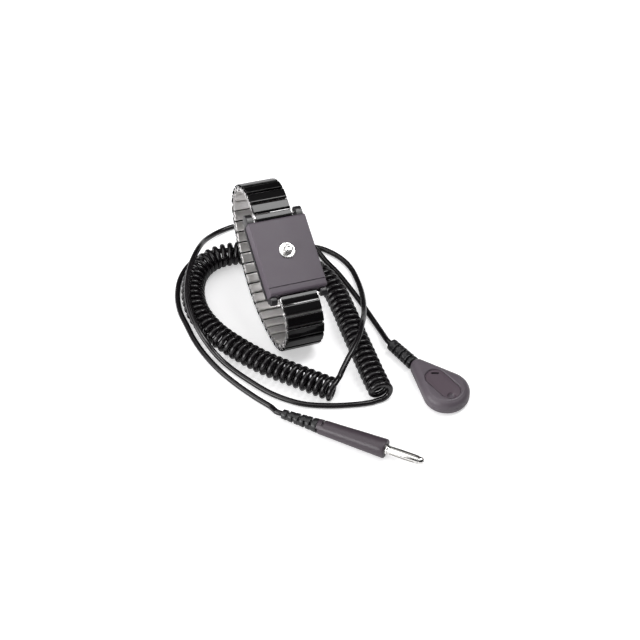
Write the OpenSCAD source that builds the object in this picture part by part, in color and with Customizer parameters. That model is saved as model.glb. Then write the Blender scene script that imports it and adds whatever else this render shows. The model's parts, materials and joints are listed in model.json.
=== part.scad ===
// Antistatic wrist strap: an expanding band of hollow links on a housing with a snap
// stud, and a coiled cord with a snap connector at one end and a banana plug at the other.
// Millimetres. The strap is drawn in its own axes and then tilted onto the floor:
// X across the band, +Y towards the band's top bend, +Z out of the housing's face.

/* [Band] */
// Width of the band
band_w = 18; // [15:0.5:18]
// Outer length of the ring from its middle to either bend
ring_half = 39.5; // [38:0.5:42]
// Outer radius of the two bends
bend_r = 14; // [13.5:0.1:14.5]
// How far the back of the ring stands behind its middle
back_depth = 21.5; // [20:0.5:23]
// Thickness of the two rows of links together
band_t = 3.2; // [3.1:0.05:3.3]
// How far each link opens from the next one
link_travel = 1.8; // [1:0.1:1.8]

/* [Housing] */
// Width of the housing
housing_w = 27; // [26:0.5:28]
// Height of the face above the middle of the ring
face_z = 16.5; // [16:0.1:17]
// Radius of the stud's knob, a 4 mm snap
knob_r = 2; // [1.9:0.05:2]

/* [Cord] */
// Outer diameter of the cord
cord_d = 2.5; // [2.2:0.1:2.5]
// Outer diameter of the coil
coil_d = 11; // [10:0.5:11]

/* [Snap connector] */
// Radius of the connector's round end
snap_r = 10.3; // [9.8:0.1:10.6]
// Height of the connector
snap_h = 7.6; // [7.4:0.1:8.2]
// Radius of the bore that takes the stud
socket_r = 2.05; // [2.02:0.01:2.1]

/* [Banana plug] */
// Length of the plug's handle
handle_len = 31.8; // [30:0.2:34]
// Radius of the handle's front end
handle_r = 4.25; // [4:0.05:4.5]
// Radius of the spring leaves, a 4 mm plug
pin_r = 2; // [1.95:0.01:2]
// Length of the pin in front of the handle
pin_len = 17.2; // [16:0.2:19]

/* [Hidden] */
$fn = 64;
link_count = 28;

// Ring, along the middle of the band's thickness
row_gap = 0.1;
row_t = (band_t - row_gap) / 2;
row_n = (row_t + row_gap) / 2;
sleeve_wall = 0.25;
mid_r = bend_r - band_t / 2;
bend_y = ring_half - bend_r;
back_r = (bend_y * bend_y + back_depth * back_depth - bend_r * bend_r) / (2 * (back_depth - bend_r));
back_z = back_r - back_depth;
back_mid_r = back_r - band_t / 2;
back_deg = asin(bend_y / (back_r - bend_r));
top_start = 20;
bottom_end = 23.5;
len_top = bend_y - top_start;
len_bend = mid_r * (180 - back_deg) * PI / 180;
len_back = back_mid_r * 2 * back_deg * PI / 180;
len_bottom = bend_y - bottom_end;
s_bend = len_top;
s_back = s_bend + len_bend;
s_low = s_back + len_back;
s_end = s_low + len_bend;
link_pitch = (s_end + len_bottom) / link_count;

// The direction the band faces at path length s, in degrees from +Z towards +Y
function facing(s) =
    s < s_bend ? 0
    : s < s_back ? (s - s_bend) / mid_r * 180 / PI
    : s < s_low ? 180 - back_deg + (s - s_back) / back_mid_r * 180 / PI
    : s < s_end ? 180 + back_deg + (s - s_low) / mid_r * 180 / PI
    : 360;
function turned(y, z, r, a) = [y + r * sin(a), z + r * cos(a)];
function ring(s) =
    s < s_bend ? [top_start + s, mid_r]
    : s < s_back ? turned(bend_y, 0, mid_r, facing(s))
    : s < s_low ? turned(0, back_z, back_mid_r, facing(s))
    : s < s_end ? turned(-bend_y, 0, mid_r, facing(s))
    : [-bend_y + s - s_end, mid_r];
// A point u along the band and n outwards from its middle at path length s
function spot(s, u, n) = ring(s) + [u * cos(facing(s)) + n * sin(facing(s)), n * cos(facing(s)) - u * sin(facing(s))];
function link_s(i) = (i - 0.5) * link_pitch;

// How far each link opens, so that the ring stays closed when it is stretched
function ahead(k) = [cos(facing(k * link_pitch)), -sin(facing(k * link_pitch))];
function in_top(k) = k * link_pitch < s_back;
function in_low(k) = k * link_pitch >= s_low;
function total(v, i = 0) = i < len(v) ? v[i] + total(v, i + 1) : [0, 0];
sum_top = total([for (k = [1 : link_count - 1]) in_top(k) ? ahead(k) : [0, 0]]);
sum_low = total([for (k = [1 : link_count - 1]) in_low(k) ? ahead(k) : [0, 0]]);
sum_back = total([for (k = [1 : link_count - 1]) !in_top(k) && !in_low(k) ? ahead(k) : [0, 0]]);
solve_det = sum_back[0] * sum_low[1] - sum_low[0] * sum_back[1];
open_back = link_travel * (sum_low[0] * sum_top[1] - sum_top[0] * sum_low[1]) / solve_det;
open_low = link_travel * (sum_top[0] * sum_back[1] - sum_back[0] * sum_top[1]) / solve_det;
function opening(k) = in_top(k) ? link_travel : in_low(k) ? open_low : open_back;
function shift(i) = i < 2 ? [0, 0] : total([for (k = [1 : i - 1]) opening(k) * ahead(k)]);
echo(pitch = link_pitch, open_back = open_back, open_low = open_low);
echo(shifts = [for (i = [1 : link_count]) shift(i)]);

// Where the strap stands
strap_at = [-1.6, 0, 26.5];
strap_tilt = [26, 8, 0];

// Links
sleeve_x = band_w - 0.8;
outer_w = 4.4;
inner_w = 4.3;
leg_w = 0.7;
leg_t = 0.5;
leg_n = 0.625;
leg_x = 5.8;
bow_x = sleeve_x / 2 + 0.08;
bow_t = 0.3;

// Housing
face_top = 15.7;
face_low = -18.9;
bar_z = mid_r;
base_z = bar_z - 3;
cover_z = base_z + 1.2;
bar_top = 18.3;
bar_low = -20.6;
bar_r = 0.75;
tip_r = 0.4;
tip_x = 11.2;
lug_in = 9.25;
lug_out = housing_w / 2 - 0.1;

// Snap connector, its round end at the origin and its neck towards +Y
snap_at = [45, -80.3, 0];
snap_turn = 16.3;
snap_split = 3.8;
relief_y = 36.5;
neck_end = 22;
relief_z = 3.3;
socket_y = -1.8;

// Banana plug, its axis along +X from the back of the handle
plug_at = [-13.6, -75.2, 3.25];
plug_rise = 1.8;
plug_turn = -47.8;
plug_relief_len = 16.8;

// Coil axis on the floor, from the end whose lead goes to the plug
coil_h = coil_d / 2;
coil_r = (coil_d - cord_d) / 2;
coil_turns = 60.5;
coil_axis = [
    [0, -61.5], [-11.5, -48], [-21.5, -36], [-30, -22.5], [-36.2, -9], [-38.6, 5],
    [-36.2, 18], [-29.8, 28.2], [-20, 33.4], [-8.2, 32.2], [3, 25.4], [13.3, 16.8],
    [20.6, 6.6], [23.2, -5.5], [22.6, -18.5], [21.2, -33], [20, -47], [18.9, -60], [18.3, -71]];

// Lead that goes to the snap connector, between the coil and the strain relief
snap_lead = [
    [6, -69, 1.25], [-5, -65, 1.25], [-15.5, -59, 1.25], [-24.5, -49.5, 1.25],
    [-31, -38.5, 1.25], [-36, -28, 1.25], [-39.6, -20.6, 3.6], [-42.2, -14, 7.4],
    [-43.3, -7.5, 9.7], [-43.4, -0.5, 11], [-42.4, 7, 11.8], [-40.2, 14, 12.4],
    [-37.3, 20.5, 12.8], [-33.9, 26.5, 12.9], [-29.8, 32.2, 12.7], [-25.5, 38, 10.9],
    [-20.9, 44.2, 7.3], [-15.7, 49, 4.2], [-9.6, 52.6, 1.8], [-2, 53.5, 1.25],
    [7, 51, 1.25], [14.5, 45.8, 1.25], [20.3, 38.5, 2.6], [24, 30.5, 4.4],
    [26.8, 22.5, 3], [28.8, 15, 1.25], [30.8, 6, 1.25], [32.2, -5, 1.25],
    [33.2, -16, 1.25], [33.9, -27, 1.25], [34.2, -35.5, 1.7]];

// Lead that goes to the banana plug, between the coil and the strain relief
plug_lead = [
    [6, -56.2, 10.7], [10.2, -52.4, 12.1], [14.2, -48.8, 12.8], [18, -44.9, 12.95],
    [21.4, -40.6, 12.95], [24.3, -35.9, 12], [27.5, -30.4, 9.2], [30.6, -24, 6.4],
    [33.4, -16.8, 4.7], [35.7, -9.5, 2.8], [37.2, -1.8, 1.5], [37.7, 6, 1.25],
    [36.4, 13, 1.25], [33.4, 19.3, 1.25], [28.8, 24.8, 1.25], [21.8, 28.6, 1.25],
    [12, 30.3, 1.25], [3, 34, 1.25], [-7, 38.6, 1.25], [-18, 41.3, 1.25],
    [-28.5, 39.4, 1.25], [-37, 32.3, 1.25], [-42.3, 22.5, 1.25], [-44.8, 12.5, 1.25],
    [-45, 3, 1.25], [-44.9, -7, 1.25], [-43.6, -17, 1.25], [-41, -27.5, 1.25],
    [-37, -38, 1.25], [-32.2, -48, 1.25], [-28, -56, 1.6]];

/* [Shapes] */

module strap() {
    translate(strap_at) rotate(strap_tilt) children();
}

// A flat shape in Y and Z, drawn out along X about the middle
module along_x(length) {
    rotate([90, 0, 90]) translate([0, 0, -length / 2]) linear_extrude(length) children();
}

module both_sides() {
    children();
    mirror([1, 0, 0]) children();
}

// The same flat shape between two distances from the middle, on the +X side
module slice_x(x0, x1) {
    rotate([90, 0, 90]) translate([0, 0, x0]) linear_extrude(x1 - x0) children();
}

module soft_rect(w, h, r) {
    square([w - 2 * r, h], center = true);
    square([w, h - 2 * r], center = true);
    for (x = [-1, 1], y = [-1, 1]) {
        translate([x * (w / 2 - r), y * (h / 2 - r)]) circle(r);
    }
}

// Places what is drawn along +Y and outwards along +Z on the ring
module on_ring(s) {
    translate([0, ring(s)[0], ring(s)[1]]) rotate([-facing(s), 0, 0]) children();
}

/* [Links] */

module sleeve(w) {
    along_x(sleeve_x) difference() {
        soft_rect(w, row_t, 0.45);
        square([w - 2 * sleeve_wall, row_t - 2 * sleeve_wall], center = true);
    }
}

// Bowed leaf that holds the legs of the bows down
module leaf() {
    rotate([90, 0, 0]) translate([0, 0, -1.5]) linear_extrude(3) polygon([
        [-7, 0.11], [-7, 0.26], [0, 0.5], [7, 0.26], [7, 0.11], [0, 0.35]]);
}

// A bow at the band's edges: one leg in an outer sleeve and one in an inner sleeve
module bow(s_out, u_out, s_in, u_in) {
    h = leg_w / 2;
    a = leg_n + leg_t / 2;
    b = leg_n - leg_t / 2;
    both_sides() {
        slice_x(bow_x, bow_x + bow_t) polygon([
            spot(s_out, u_out - h, a), spot(s_out, u_out + h, a),
            spot(s_out, u_out + h, b), spot(s_in, u_in + h, -b),
            spot(s_in, u_in + h, -a), spot(s_in, u_in - h, -a),
            spot(s_in, u_in - h, -b), spot(s_out, u_out - h, b)]);
        slice_x(leg_x, bow_x + bow_t) polygon([
            spot(s_out, u_out - h, a), spot(s_out, u_out + h, a),
            spot(s_out, u_out + h, b), spot(s_out, u_out - h, b)]);
        slice_x(leg_x, bow_x + bow_t) polygon([
            spot(s_in, u_in - h, -a), spot(s_in, u_in + h, -a),
            spot(s_in, u_in + h, -b), spot(s_in, u_in - h, -b)]);
    }
}

module link(i) {
    s = link_s(i);
    on_ring(s) translate([0, 0, row_n]) sleeve(outer_w);
    on_ring(s) translate([0, 0, row_n]) leaf();
    if (i > 1) {
        bow(s, -1.5, s - link_pitch / 2, -0.4);
    }
    if (i < link_count) {
        on_ring(s + link_pitch / 2) translate([0, 0, -row_n]) sleeve(inner_w);
        on_ring(s + link_pitch / 2) translate([0, 0, -row_n]) mirror([0, 0, 1]) leaf();
        bow(s, 1.5, s + link_pitch / 2, -1.4);
    }
}

// End link: a loop for the spring bar, and two plates whose legs hold the first sleeve
module end_link(bar_y, edge_near, edge_far, s_leg, u_leg) {
    h = leg_w / 2;
    a = leg_n + leg_t / 2;
    b = leg_n - leg_t / 2;
    front = bar_z + row_gap / 2;
    difference() {
        union() {
            along_x(sleeve_x) translate([bar_y, bar_z]) circle(1.5);
            along_x(sleeve_x) translate([min(edge_near, edge_far), front]) square([abs(edge_far - edge_near), row_t]);
            both_sides() slice_x(sleeve_x / 2 - 0.1, bow_x + bow_t) union() {
                translate([bar_y, bar_z]) circle(1.3);
                polygon([[bar_y, bar_z + b], [bar_y, bar_z + a], spot(s_leg, u_leg, a), spot(s_leg, u_leg, b)]);
            }
            both_sides() slice_x(leg_x, bow_x + bow_t) polygon([
                spot(s_leg, u_leg - h, a), spot(s_leg, u_leg + h, a),
                spot(s_leg, u_leg + h, b), spot(s_leg, u_leg - h, b)]);
        }
        along_x(sleeve_x + 4) translate([bar_y, bar_z]) circle(bar_r + 0.05);
    }
}

module end_link_top() {
    end_link(bar_top, face_top + 0.5, top_start - 0.25, link_s(1), -1.5);
}

module end_link_bottom() {
    end_link(bar_low, face_low - 0.25, 0.25 - bottom_end, link_s(link_count), 1.5);
}

module spring_bar(bar_y) {
    along_x(sleeve_x) translate([bar_y, bar_z]) difference() {
        circle(bar_r);
        circle(tip_r + 0.05);
    }
    both_sides() slice_x(6, tip_x) translate([bar_y, bar_z]) circle(tip_r);
}

module spring_bar_top() {
    spring_bar(bar_top);
}

module spring_bar_bottom() {
    spring_bar(bar_low);
}

/* [Housing parts] */

module housing_cover() {
    mid_y = (face_top + face_low) / 2;
    difference() {
        intersection() {
            along_x(housing_w) union() {
                translate([face_low, cover_z]) square([face_top - face_low, face_z - cover_z - 1]);
                translate([face_low + 1, cover_z]) square([face_top - face_low - 1.4, face_z - cover_z]);
                translate([face_low + 1, cover_z]) square([face_top - face_low - 1, face_z - cover_z - 0.4]);
                translate([face_low + 1, face_z - 1]) circle(1);
                translate([face_top - 0.4, face_z - 0.4]) circle(0.4);
            }
            translate([0, face_low, 0]) rotate([90, 0, 180]) linear_extrude(face_top - face_low) polygon([
                [-housing_w / 2, cover_z], [-housing_w / 2, face_z - 0.5], [-housing_w / 2 + 0.5, face_z],
                [housing_w / 2 - 0.5, face_z], [housing_w / 2, face_z - 0.5], [housing_w / 2, cover_z]]);
            translate([0, mid_y, cover_z]) linear_extrude(face_z - cover_z) soft_rect(housing_w, face_top - face_low, 0.9);
        }
        translate([-housing_w / 2 + 1.2, face_low + 1.2, cover_z - 1]) cube([housing_w - 2.4, face_top - face_low - 2.4, face_z - cover_z - 0.2]);
        translate([-housing_w / 2 - 1, face_low + 3.2, face_z - 0.3]) cube([housing_w + 2, 0.4, 1]);
        translate([0, 0, cover_z]) cylinder(r = 1.3, h = face_z);
    }
}

module lug(bar_y, wall_y, r) {
    slice_x(lug_in, lug_out) union() {
        translate([bar_y, bar_z]) circle(r);
        translate([min(bar_y, wall_y), base_z]) square([abs(bar_y - wall_y), bar_z + r - base_z]);
    }
}

module housing_base() {
    mid_y = (face_top + face_low) / 2;
    difference() {
        union() {
            translate([0, mid_y, base_z]) linear_extrude(cover_z - base_z) soft_rect(housing_w, face_top - face_low + 0.3, 0.9);
            both_sides() lug(bar_top, face_top + 0.06, 2.5);
            both_sides() lug(bar_low, face_low - 0.06, 1.8);
        }
        both_sides() slice_x(lug_in - 1, tip_x + 0.4) translate([bar_top, bar_z]) circle(tip_r + 0.05);
        both_sides() slice_x(lug_in - 1, tip_x + 0.4) translate([bar_low, bar_z]) circle(tip_r + 0.05);
        translate([-2.8, 5.6, base_z - 1]) cube([5.6, 1.1, 3]);
    }
}

module contact_plate() {
    mid_y = (face_top + face_low) / 2;
    translate([0, mid_y, base_z - 0.5]) linear_extrude(0.5)
        soft_rect(housing_w - 7, face_top - face_low - 4.6, 2);
}

// Strip that joins the stud to the contact plate
module contact_strip() {
    along_x(5) polygon([
        [-2, face_z - 2.65], [6, face_z - 2.65], [6, base_z], [6.3, base_z], [6.3, face_z - 2.35], [-2, face_z - 2.35]]);
}

module snap_stud() {
    translate([0, 0, face_z]) cylinder(r = 3.75, h = 0.35);
    translate([0, 0, face_z + 0.35]) cylinder(r1 = 3.75, r2 = 3.5, h = 0.15);
    translate([0, 0, face_z - 2.3]) cylinder(r = 1.2, h = 3);
    translate([0, 0, face_z - 2.3]) cylinder(r = 1.9, h = 0.5);
    translate([0, 0, face_z + 0.4]) cylinder(r = knob_r - 0.25, h = 2);
    translate([0, 0, face_z + 1.3]) cylinder(r1 = knob_r - 0.25, r2 = knob_r, h = 0.3);
    translate([0, 0, face_z + 1.6]) cylinder(r = knob_r, h = 1.2);
    translate([0, 0, face_z + 2.8]) cylinder(r1 = knob_r, r2 = knob_r - 0.6, h = 0.5);
}

module stud_washer() {
    translate([0, 0, face_z - 1.75]) difference() {
        cylinder(r = 3, h = 0.5);
        translate([0, 0, -1]) cylinder(r = 1.25, h = 3);
    }
}

/* [Cord shapes] */

function unit(v) = v / norm(v);
// Smooth curve through the points
function curve_at(a, b, c, d, t) =
    0.5 * (2 * b + (c - a) * t + (2 * a - 5 * b + 4 * c - d) * t * t + (3 * b - a - 3 * c + d) * t * t * t);
function smooth(p, n) =
    let (last = len(p) - 1, q = concat([2 * p[0] - p[1]], p, [2 * p[last] - p[last - 1]]))
    concat([for (i = [1 : last], k = [0 : n - 1]) curve_at(q[i - 1], q[i], q[i + 1], q[i + 2], k / n)], [p[last]]);
function lengths(p) = [for (i = 0, s = 0; i < len(p); s = i < len(p) - 1 ? s + norm(p[i + 1] - p[i]) : s, i = i + 1) s];
function at_length(s, l, p, d) = [for (k = [0 : d - 1]) lookup(s, [for (i = [0 : len(p) - 1]) [l[i], p[i][k]]])];

// Tube through ring centres c, with the cross axes a and b at each ring
module tube(c, a, b, r, n) {
    last = len(c) - 1;
    points = [for (i = [0 : last], j = [0 : n - 1]) c[i] + r * (cos(360 * j / n) * a[i] + sin(360 * j / n) * b[i])];
    faces = [
        for (i = [0 : last - 1], j = [0 : n - 1])
            each [
                [i * n + j, (i + 1) * n + j, (i + 1) * n + (j + 1) % n],
                [i * n + j, (i + 1) * n + (j + 1) % n, i * n + (j + 1) % n]]];
    polyhedron(concat(points), concat(faces, [[for (j = [0 : n - 1]) j]], [[for (j = [0 : n - 1]) last * n + n - 1 - j]]), convexity = 10);
}

// Coil: its axis, sampled evenly, and the turns wound left-handed round it
axis_path = smooth(coil_axis, 10);
axis_len = lengths(axis_path);
coil_len = axis_len[len(axis_len) - 1];
axis_x = [for (i = [0 : len(axis_path) - 1]) [axis_len[i], axis_path[i][0]]];
axis_y = [for (i = [0 : len(axis_path) - 1]) [axis_len[i], axis_path[i][1]]];
function axis_point(s) = [lookup(s, axis_x), lookup(s, axis_y), coil_h];
function axis_dir(s) = unit(axis_point(min(s + 1, coil_len)) - axis_point(max(s - 1, 0)));
function side(s) = [-axis_dir(s)[1], axis_dir(s)[0], 0];
function wind(s) = 90 - 360 * coil_turns * s / coil_len;
function radial(s) = cos(wind(s)) * side(s) + [0, 0, sin(wind(s))];
function coil_point(s) = axis_point(s) + coil_r * radial(s);
coil_rings = round(coil_turns * 8);
function coil_s(i) = coil_len * i / coil_rings;
coil_start_dir = side(0);
coil_end_dir = -side(coil_len);
coil_start = coil_point(0) - cord_d * coil_start_dir;
coil_end = coil_point(coil_len) + cord_d * coil_end_dir;
coil_centres = concat([coil_start], [for (i = [0 : coil_rings]) coil_point(coil_s(i))], [coil_end]);
function coil_dir(i) =
    i == 0 ? coil_start_dir
    : i == len(coil_centres) - 1 ? coil_end_dir
    : unit(coil_centres[i + 1] - coil_centres[i - 1]);
function coil_up(i) = radial(coil_s(max(0, min(coil_rings, i - 1))));
function coil_a(i) = unit(coil_up(i) - (coil_up(i) * coil_dir(i)) * coil_dir(i));
least_gap = min([for (i = [1 : coil_rings - 12], k = [6 : 10]) norm(coil_centres[i + k] - coil_centres[i])]) - cord_d;
echo(coil_length = coil_len, coil_pitch = coil_len / coil_turns, least_gap = least_gap);

module coil_cord() {
    n = len(coil_centres) - 1;
    tube(
        coil_centres, [for (i = [0 : n]) coil_a(i)], [for (i = [0 : n]) cross(coil_dir(i), coil_a(i))],
        cord_d / 2, 6);
}

// A lead: evenly spaced rings through the points
module lead(points, rings) {
    path = smooth(points, 8);
    l = lengths(path);
    full = l[len(l) - 1];
    c = concat(
        [points[0]], [for (i = [1 : rings - 1]) at_length(full * i / rings, l, path, 3)], [points[len(points) - 1]]);
    t = [for (i = [0 : rings])
        i == 0 ? unit(points[1] - points[0])
        : i == rings ? unit(points[len(points) - 1] - points[len(points) - 2])
        : unit(c[i + 1] - c[i - 1])];
    a = [for (i = [0 : rings]) unit(cross([0, 0, 1], t[i]))];
    b = [for (i = [0 : rings]) cross(t[i], a[i])];
    echo(lead_length = full, rings = rings + 1);
    tube(c, a, b, cord_d / 2, 8);
}

function spun(p, a) = [p[0] * cos(a) - p[1] * sin(a), p[0] * sin(a) + p[1] * cos(a), p[2]];
function snap_place(p) = snap_at + spun(p, snap_turn);
function plug_place(x) = plug_at + spun([x * cos(plug_rise), 0, x * sin(plug_rise)], plug_turn);

module lead_snap() {
    lead(concat(
        [coil_end, coil_end + 3 * coil_end_dir], snap_lead,
        [snap_place([0, relief_y + 3, relief_z]), snap_place([0, relief_y, relief_z])]), 40);
}

module lead_plug() {
    lead(concat(
        [coil_start, coil_start - 2.5 * coil_start_dir], plug_lead,
        [plug_place(-plug_relief_len - 3), plug_place(-plug_relief_len)]), 39);
}

/* [Snap connector parts] */

module snap_frame() {
    translate(snap_at) rotate([0, 0, snap_turn]) children();
}

// Outline of the connector, drawn in by an even amount
module snap_outline(inset) {
    hull() {
        translate([0, 0.2]) circle(snap_r - inset);
        translate([0, neck_end - 3.4]) circle(3.4 - inset);
    }
}

module snap_lower_shell() {
    snap_frame() difference() {
        union() {
            linear_extrude(0.7) snap_outline(1.4);
            translate([0, 0, 0.7]) linear_extrude(1) snap_outline(0.5);
            translate([0, 0, 1.7]) linear_extrude(snap_split - 1.75) snap_outline(0);
        }
        translate([0, 0, 1.2]) linear_extrude(snap_h) snap_outline(1.4);
        translate([0, socket_y, -1]) cylinder(r = 3.3, h = 4);
        translate([0, 30, relief_z]) rotate([90, 0, 0]) cylinder(r = 1.6, h = 12);
    }
}

module snap_upper_shell() {
    snap_frame() difference() {
        union() {
            translate([0, 0, snap_split]) linear_extrude(snap_h - 2.2 - snap_split) snap_outline(0);
            translate([0, 0, snap_h - 2.2]) linear_extrude(1.2) snap_outline(0.5);
            translate([0, 0, snap_h - 1]) linear_extrude(0.6) snap_outline(1.4);
            translate([0, 0, snap_h - 0.4]) linear_extrude(0.4) snap_outline(2.4);
        }
        translate([0, 0, snap_split - 1]) linear_extrude(snap_h - 2.4 - snap_split + 1) snap_outline(1.4);
        translate([0, 2.6, snap_h - 0.9]) linear_extrude(2) soft_rect(9.6, 19, 4.7);
        translate([0, 30, relief_z]) rotate([90, 0, 0]) cylinder(r = 1.6, h = 12);
    }
}

// Soft pad pressed into the recess of the upper shell
module snap_pad() {
    snap_frame() translate([0, 2.6, snap_h - 0.88]) linear_extrude(0.35) soft_rect(9.2, 18.6, 4.5);
}

module snap_socket() {
    snap_frame() translate([0, socket_y, 0]) difference() {
        union() {
            translate([0, 0, 0.15]) cylinder(r = 3.2, h = 4.1);
            translate([0, 0, 1.25]) cylinder(r = 4.2, h = 0.5);
        }
        translate([0, 0, -1]) cylinder(r = socket_r, h = 4.7);
        translate([0, 0, 2]) cylinder(r = 2.6, h = 0.7);
    }
}

// Open ring of wire that grips the stud's knob
module socket_spring() {
    snap_frame() translate([0, socket_y, 2.35]) rotate([0, 0, 120]) rotate_extrude(angle = 300) translate([2.28, 0]) circle(0.25);
}

module resistor() {
    snap_frame() translate([0, 0, relief_z + 0.1]) {
        translate([0, 15.2, 0]) rotate([90, 0, 0]) cylinder(r = 1.2, h = 6.2);
        translate([0, 18.6, 0]) rotate([90, 0, 0]) cylinder(r = 0.3, h = 17);
    }
}

// Ribbed sleeve: rings with grooves down to one core, along +Z from the small end
module ribbed(length, r_small, r_big, r_core, ribs) {
    step = length / ribs;
    rotate_extrude() difference() {
        polygon([[0, 0], [r_small, 0], [r_big, length], [0, length]]);
        for (i = [1 : ribs - 1]) {
            translate([r_core, i * step - step * 0.2]) square([3, step * 0.4]);
        }
    }
}

module snap_relief() {
    snap_frame() translate([0, relief_y, relief_z]) rotate([90, 0, 0]) {
        ribbed(relief_y - neck_end - 0.1, 2.8, 3.1, 2.35, 6);
        cylinder(r = 1.5, h = relief_y - 19.5);
    }
}

/* [Plug parts] */

module plug_frame() {
    translate(plug_at) rotate([0, 90 - plug_rise, plug_turn]) children();
}

module plug_handle() {
    plug_frame() difference() {
        union() {
            cylinder(r1 = handle_r - 1, r2 = handle_r, h = handle_len - 0.4);
            translate([0, 0, handle_len - 0.4]) cylinder(r1 = handle_r, r2 = handle_r - 0.4, h = 0.4);
        }
        translate([0, 0, 4]) cylinder(r = 2.6, h = handle_len - 11);
        translate([0, 0, -1]) cylinder(r = 1.55, h = handle_len);
        translate([0, 0, handle_len - 7]) cylinder(r = 1.65, h = 10);
    }
}

module plug_relief() {
    plug_frame() {
        translate([0, 0, -plug_relief_len]) ribbed(plug_relief_len - 0.05, 2, handle_r - 1.1, 1.6, 6);
        translate([0, 0, -1]) cylinder(r = 1.5, h = 5);
    }
}

// Core of the pin, with its root inside the handle
module banana_pin() {
    plug_frame() {
        translate([0, 0, handle_len - 6.9]) cylinder(r = 1.6, h = 6.9);
        translate([0, 0, handle_len - 0.1]) cylinder(r = 1.4, h = pin_len - 2.2);
        translate([0, 0, handle_len + 0.05]) cylinder(r = 2.4, h = 0.9);
        translate([0, 0, handle_len + pin_len - 2.3]) cylinder(r = 1.7, h = 1);
        translate([0, 0, handle_len + pin_len - 1.3]) cylinder(r1 = 1.7, r2 = 0.9, h = 1.3);
    }
}

// Leaves round the core, which spring outwards in the socket
module banana_spring() {
    plug_frame() translate([0, 0, handle_len + 1]) difference() {
        cylinder(r = pin_r, h = pin_len - 3.4);
        translate([0, 0, -1]) cylinder(r = 1.5, h = pin_len);
        for (a = [45, 135]) {
            rotate([0, 0, a]) translate([-3, -0.3, 1.2]) cube([6, 0.6, pin_len - 5.8]);
        }
    }
}

// Crimp that joins the cord's core to the pin
module crimp_sleeve() {
    plug_frame() translate([0, 0, 12]) difference() {
        cylinder(r = 1.6, h = 11);
        translate([0, 0, -1]) cylinder(r = 0.7, h = 8);
    }
}

color("dimgray") strap() link(1);  // link_01
color("dimgray") strap() link(2);  // link_02
color("dimgray") strap() link(3);  // link_03
color("dimgray") strap() link(4);  // link_04
color("dimgray") strap() link(5);  // link_05
color("dimgray") strap() link(6);  // link_06
color("dimgray") strap() link(7);  // link_07
color("dimgray") strap() link(8);  // link_08
color("dimgray") strap() link(9);  // link_09
color("dimgray") strap() link(10);  // link_10
color("dimgray") strap() link(11);  // link_11
color("dimgray") strap() link(12);  // link_12
color("dimgray") strap() link(13);  // link_13
color("dimgray") strap() link(14);  // link_14
color("dimgray") strap() link(15);  // link_15
color("dimgray") strap() link(16);  // link_16
color("dimgray") strap() link(17);  // link_17
color("dimgray") strap() link(18);  // link_18
color("dimgray") strap() link(19);  // link_19
color("dimgray") strap() link(20);  // link_20
color("dimgray") strap() link(21);  // link_21
color("dimgray") strap() link(22);  // link_22
color("dimgray") strap() link(23);  // link_23
color("dimgray") strap() link(24);  // link_24
color("dimgray") strap() link(25);  // link_25
color("dimgray") strap() link(26);  // link_26
color("dimgray") strap() link(27);  // link_27
color("dimgray") strap() link(28);  // link_28
color("dimgray") strap() end_link_top();
color("dimgray") strap() end_link_bottom();
color("silver") strap() spring_bar_top();
color("silver") strap() spring_bar_bottom();
color("gray") strap() housing_cover();
color("black") strap() housing_base();
color("silver") strap() contact_plate();
color("silver") strap() contact_strip();
color("silver") strap() snap_stud();
color("silver") strap() stud_washer();
color("black") coil_cord();
color("black") lead_snap();
color("black") lead_plug();
color("dimgray") snap_lower_shell();
color("dimgray") snap_upper_shell();
color("gray") snap_pad();
color("silver") snap_socket();
color("silver") socket_spring();
color("tan") resistor();
color("black") snap_relief();
color("dimgray") plug_handle();
color("black") plug_relief();
color("silver") banana_pin();
color("silver") banana_spring();
color("silver") crimp_sleeve();
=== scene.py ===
"""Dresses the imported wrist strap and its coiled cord, and sets the camera and the light.

Pieces are modelled on the bench in millimetres and set down in metres. The strap is modelled
in its own axes: X across the band, +Y towards its top bend, +Z out of the housing's face.
The snap connector's origin is near its round end with its neck towards +Y, and the plug is
turned about +Z from the back of its handle.
"""

import json
import logging
import math
from collections.abc import Callable, Iterator, Sequence
from contextlib import contextmanager
from dataclasses import dataclass, field
from enum import Enum

import bmesh
import bpy
from mathutils import Matrix, Vector

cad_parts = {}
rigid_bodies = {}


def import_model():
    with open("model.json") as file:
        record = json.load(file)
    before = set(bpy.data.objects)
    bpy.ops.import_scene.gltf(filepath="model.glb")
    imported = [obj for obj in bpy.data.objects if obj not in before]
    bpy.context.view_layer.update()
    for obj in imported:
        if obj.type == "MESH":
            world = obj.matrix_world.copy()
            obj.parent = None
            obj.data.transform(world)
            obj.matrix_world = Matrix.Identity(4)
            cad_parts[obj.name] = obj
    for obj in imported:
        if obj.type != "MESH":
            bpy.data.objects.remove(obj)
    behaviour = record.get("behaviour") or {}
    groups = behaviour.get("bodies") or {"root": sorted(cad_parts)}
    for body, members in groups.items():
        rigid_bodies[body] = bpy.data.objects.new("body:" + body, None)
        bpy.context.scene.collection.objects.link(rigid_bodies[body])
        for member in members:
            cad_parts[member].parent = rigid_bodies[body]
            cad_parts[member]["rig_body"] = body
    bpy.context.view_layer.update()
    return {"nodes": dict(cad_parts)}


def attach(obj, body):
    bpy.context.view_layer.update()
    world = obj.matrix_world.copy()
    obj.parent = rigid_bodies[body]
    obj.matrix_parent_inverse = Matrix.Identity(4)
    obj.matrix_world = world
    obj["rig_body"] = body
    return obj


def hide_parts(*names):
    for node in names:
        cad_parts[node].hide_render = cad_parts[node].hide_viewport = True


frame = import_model()

logging.basicConfig(level=logging.INFO, format="%(name)s: %(message)s")
log = logging.getLogger("wrist_strap")

Obj = bpy.types.Object
Point2 = tuple[float, float]
Point3 = tuple[float, float, float]
Place = Callable[[Vector], Vector]

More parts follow.
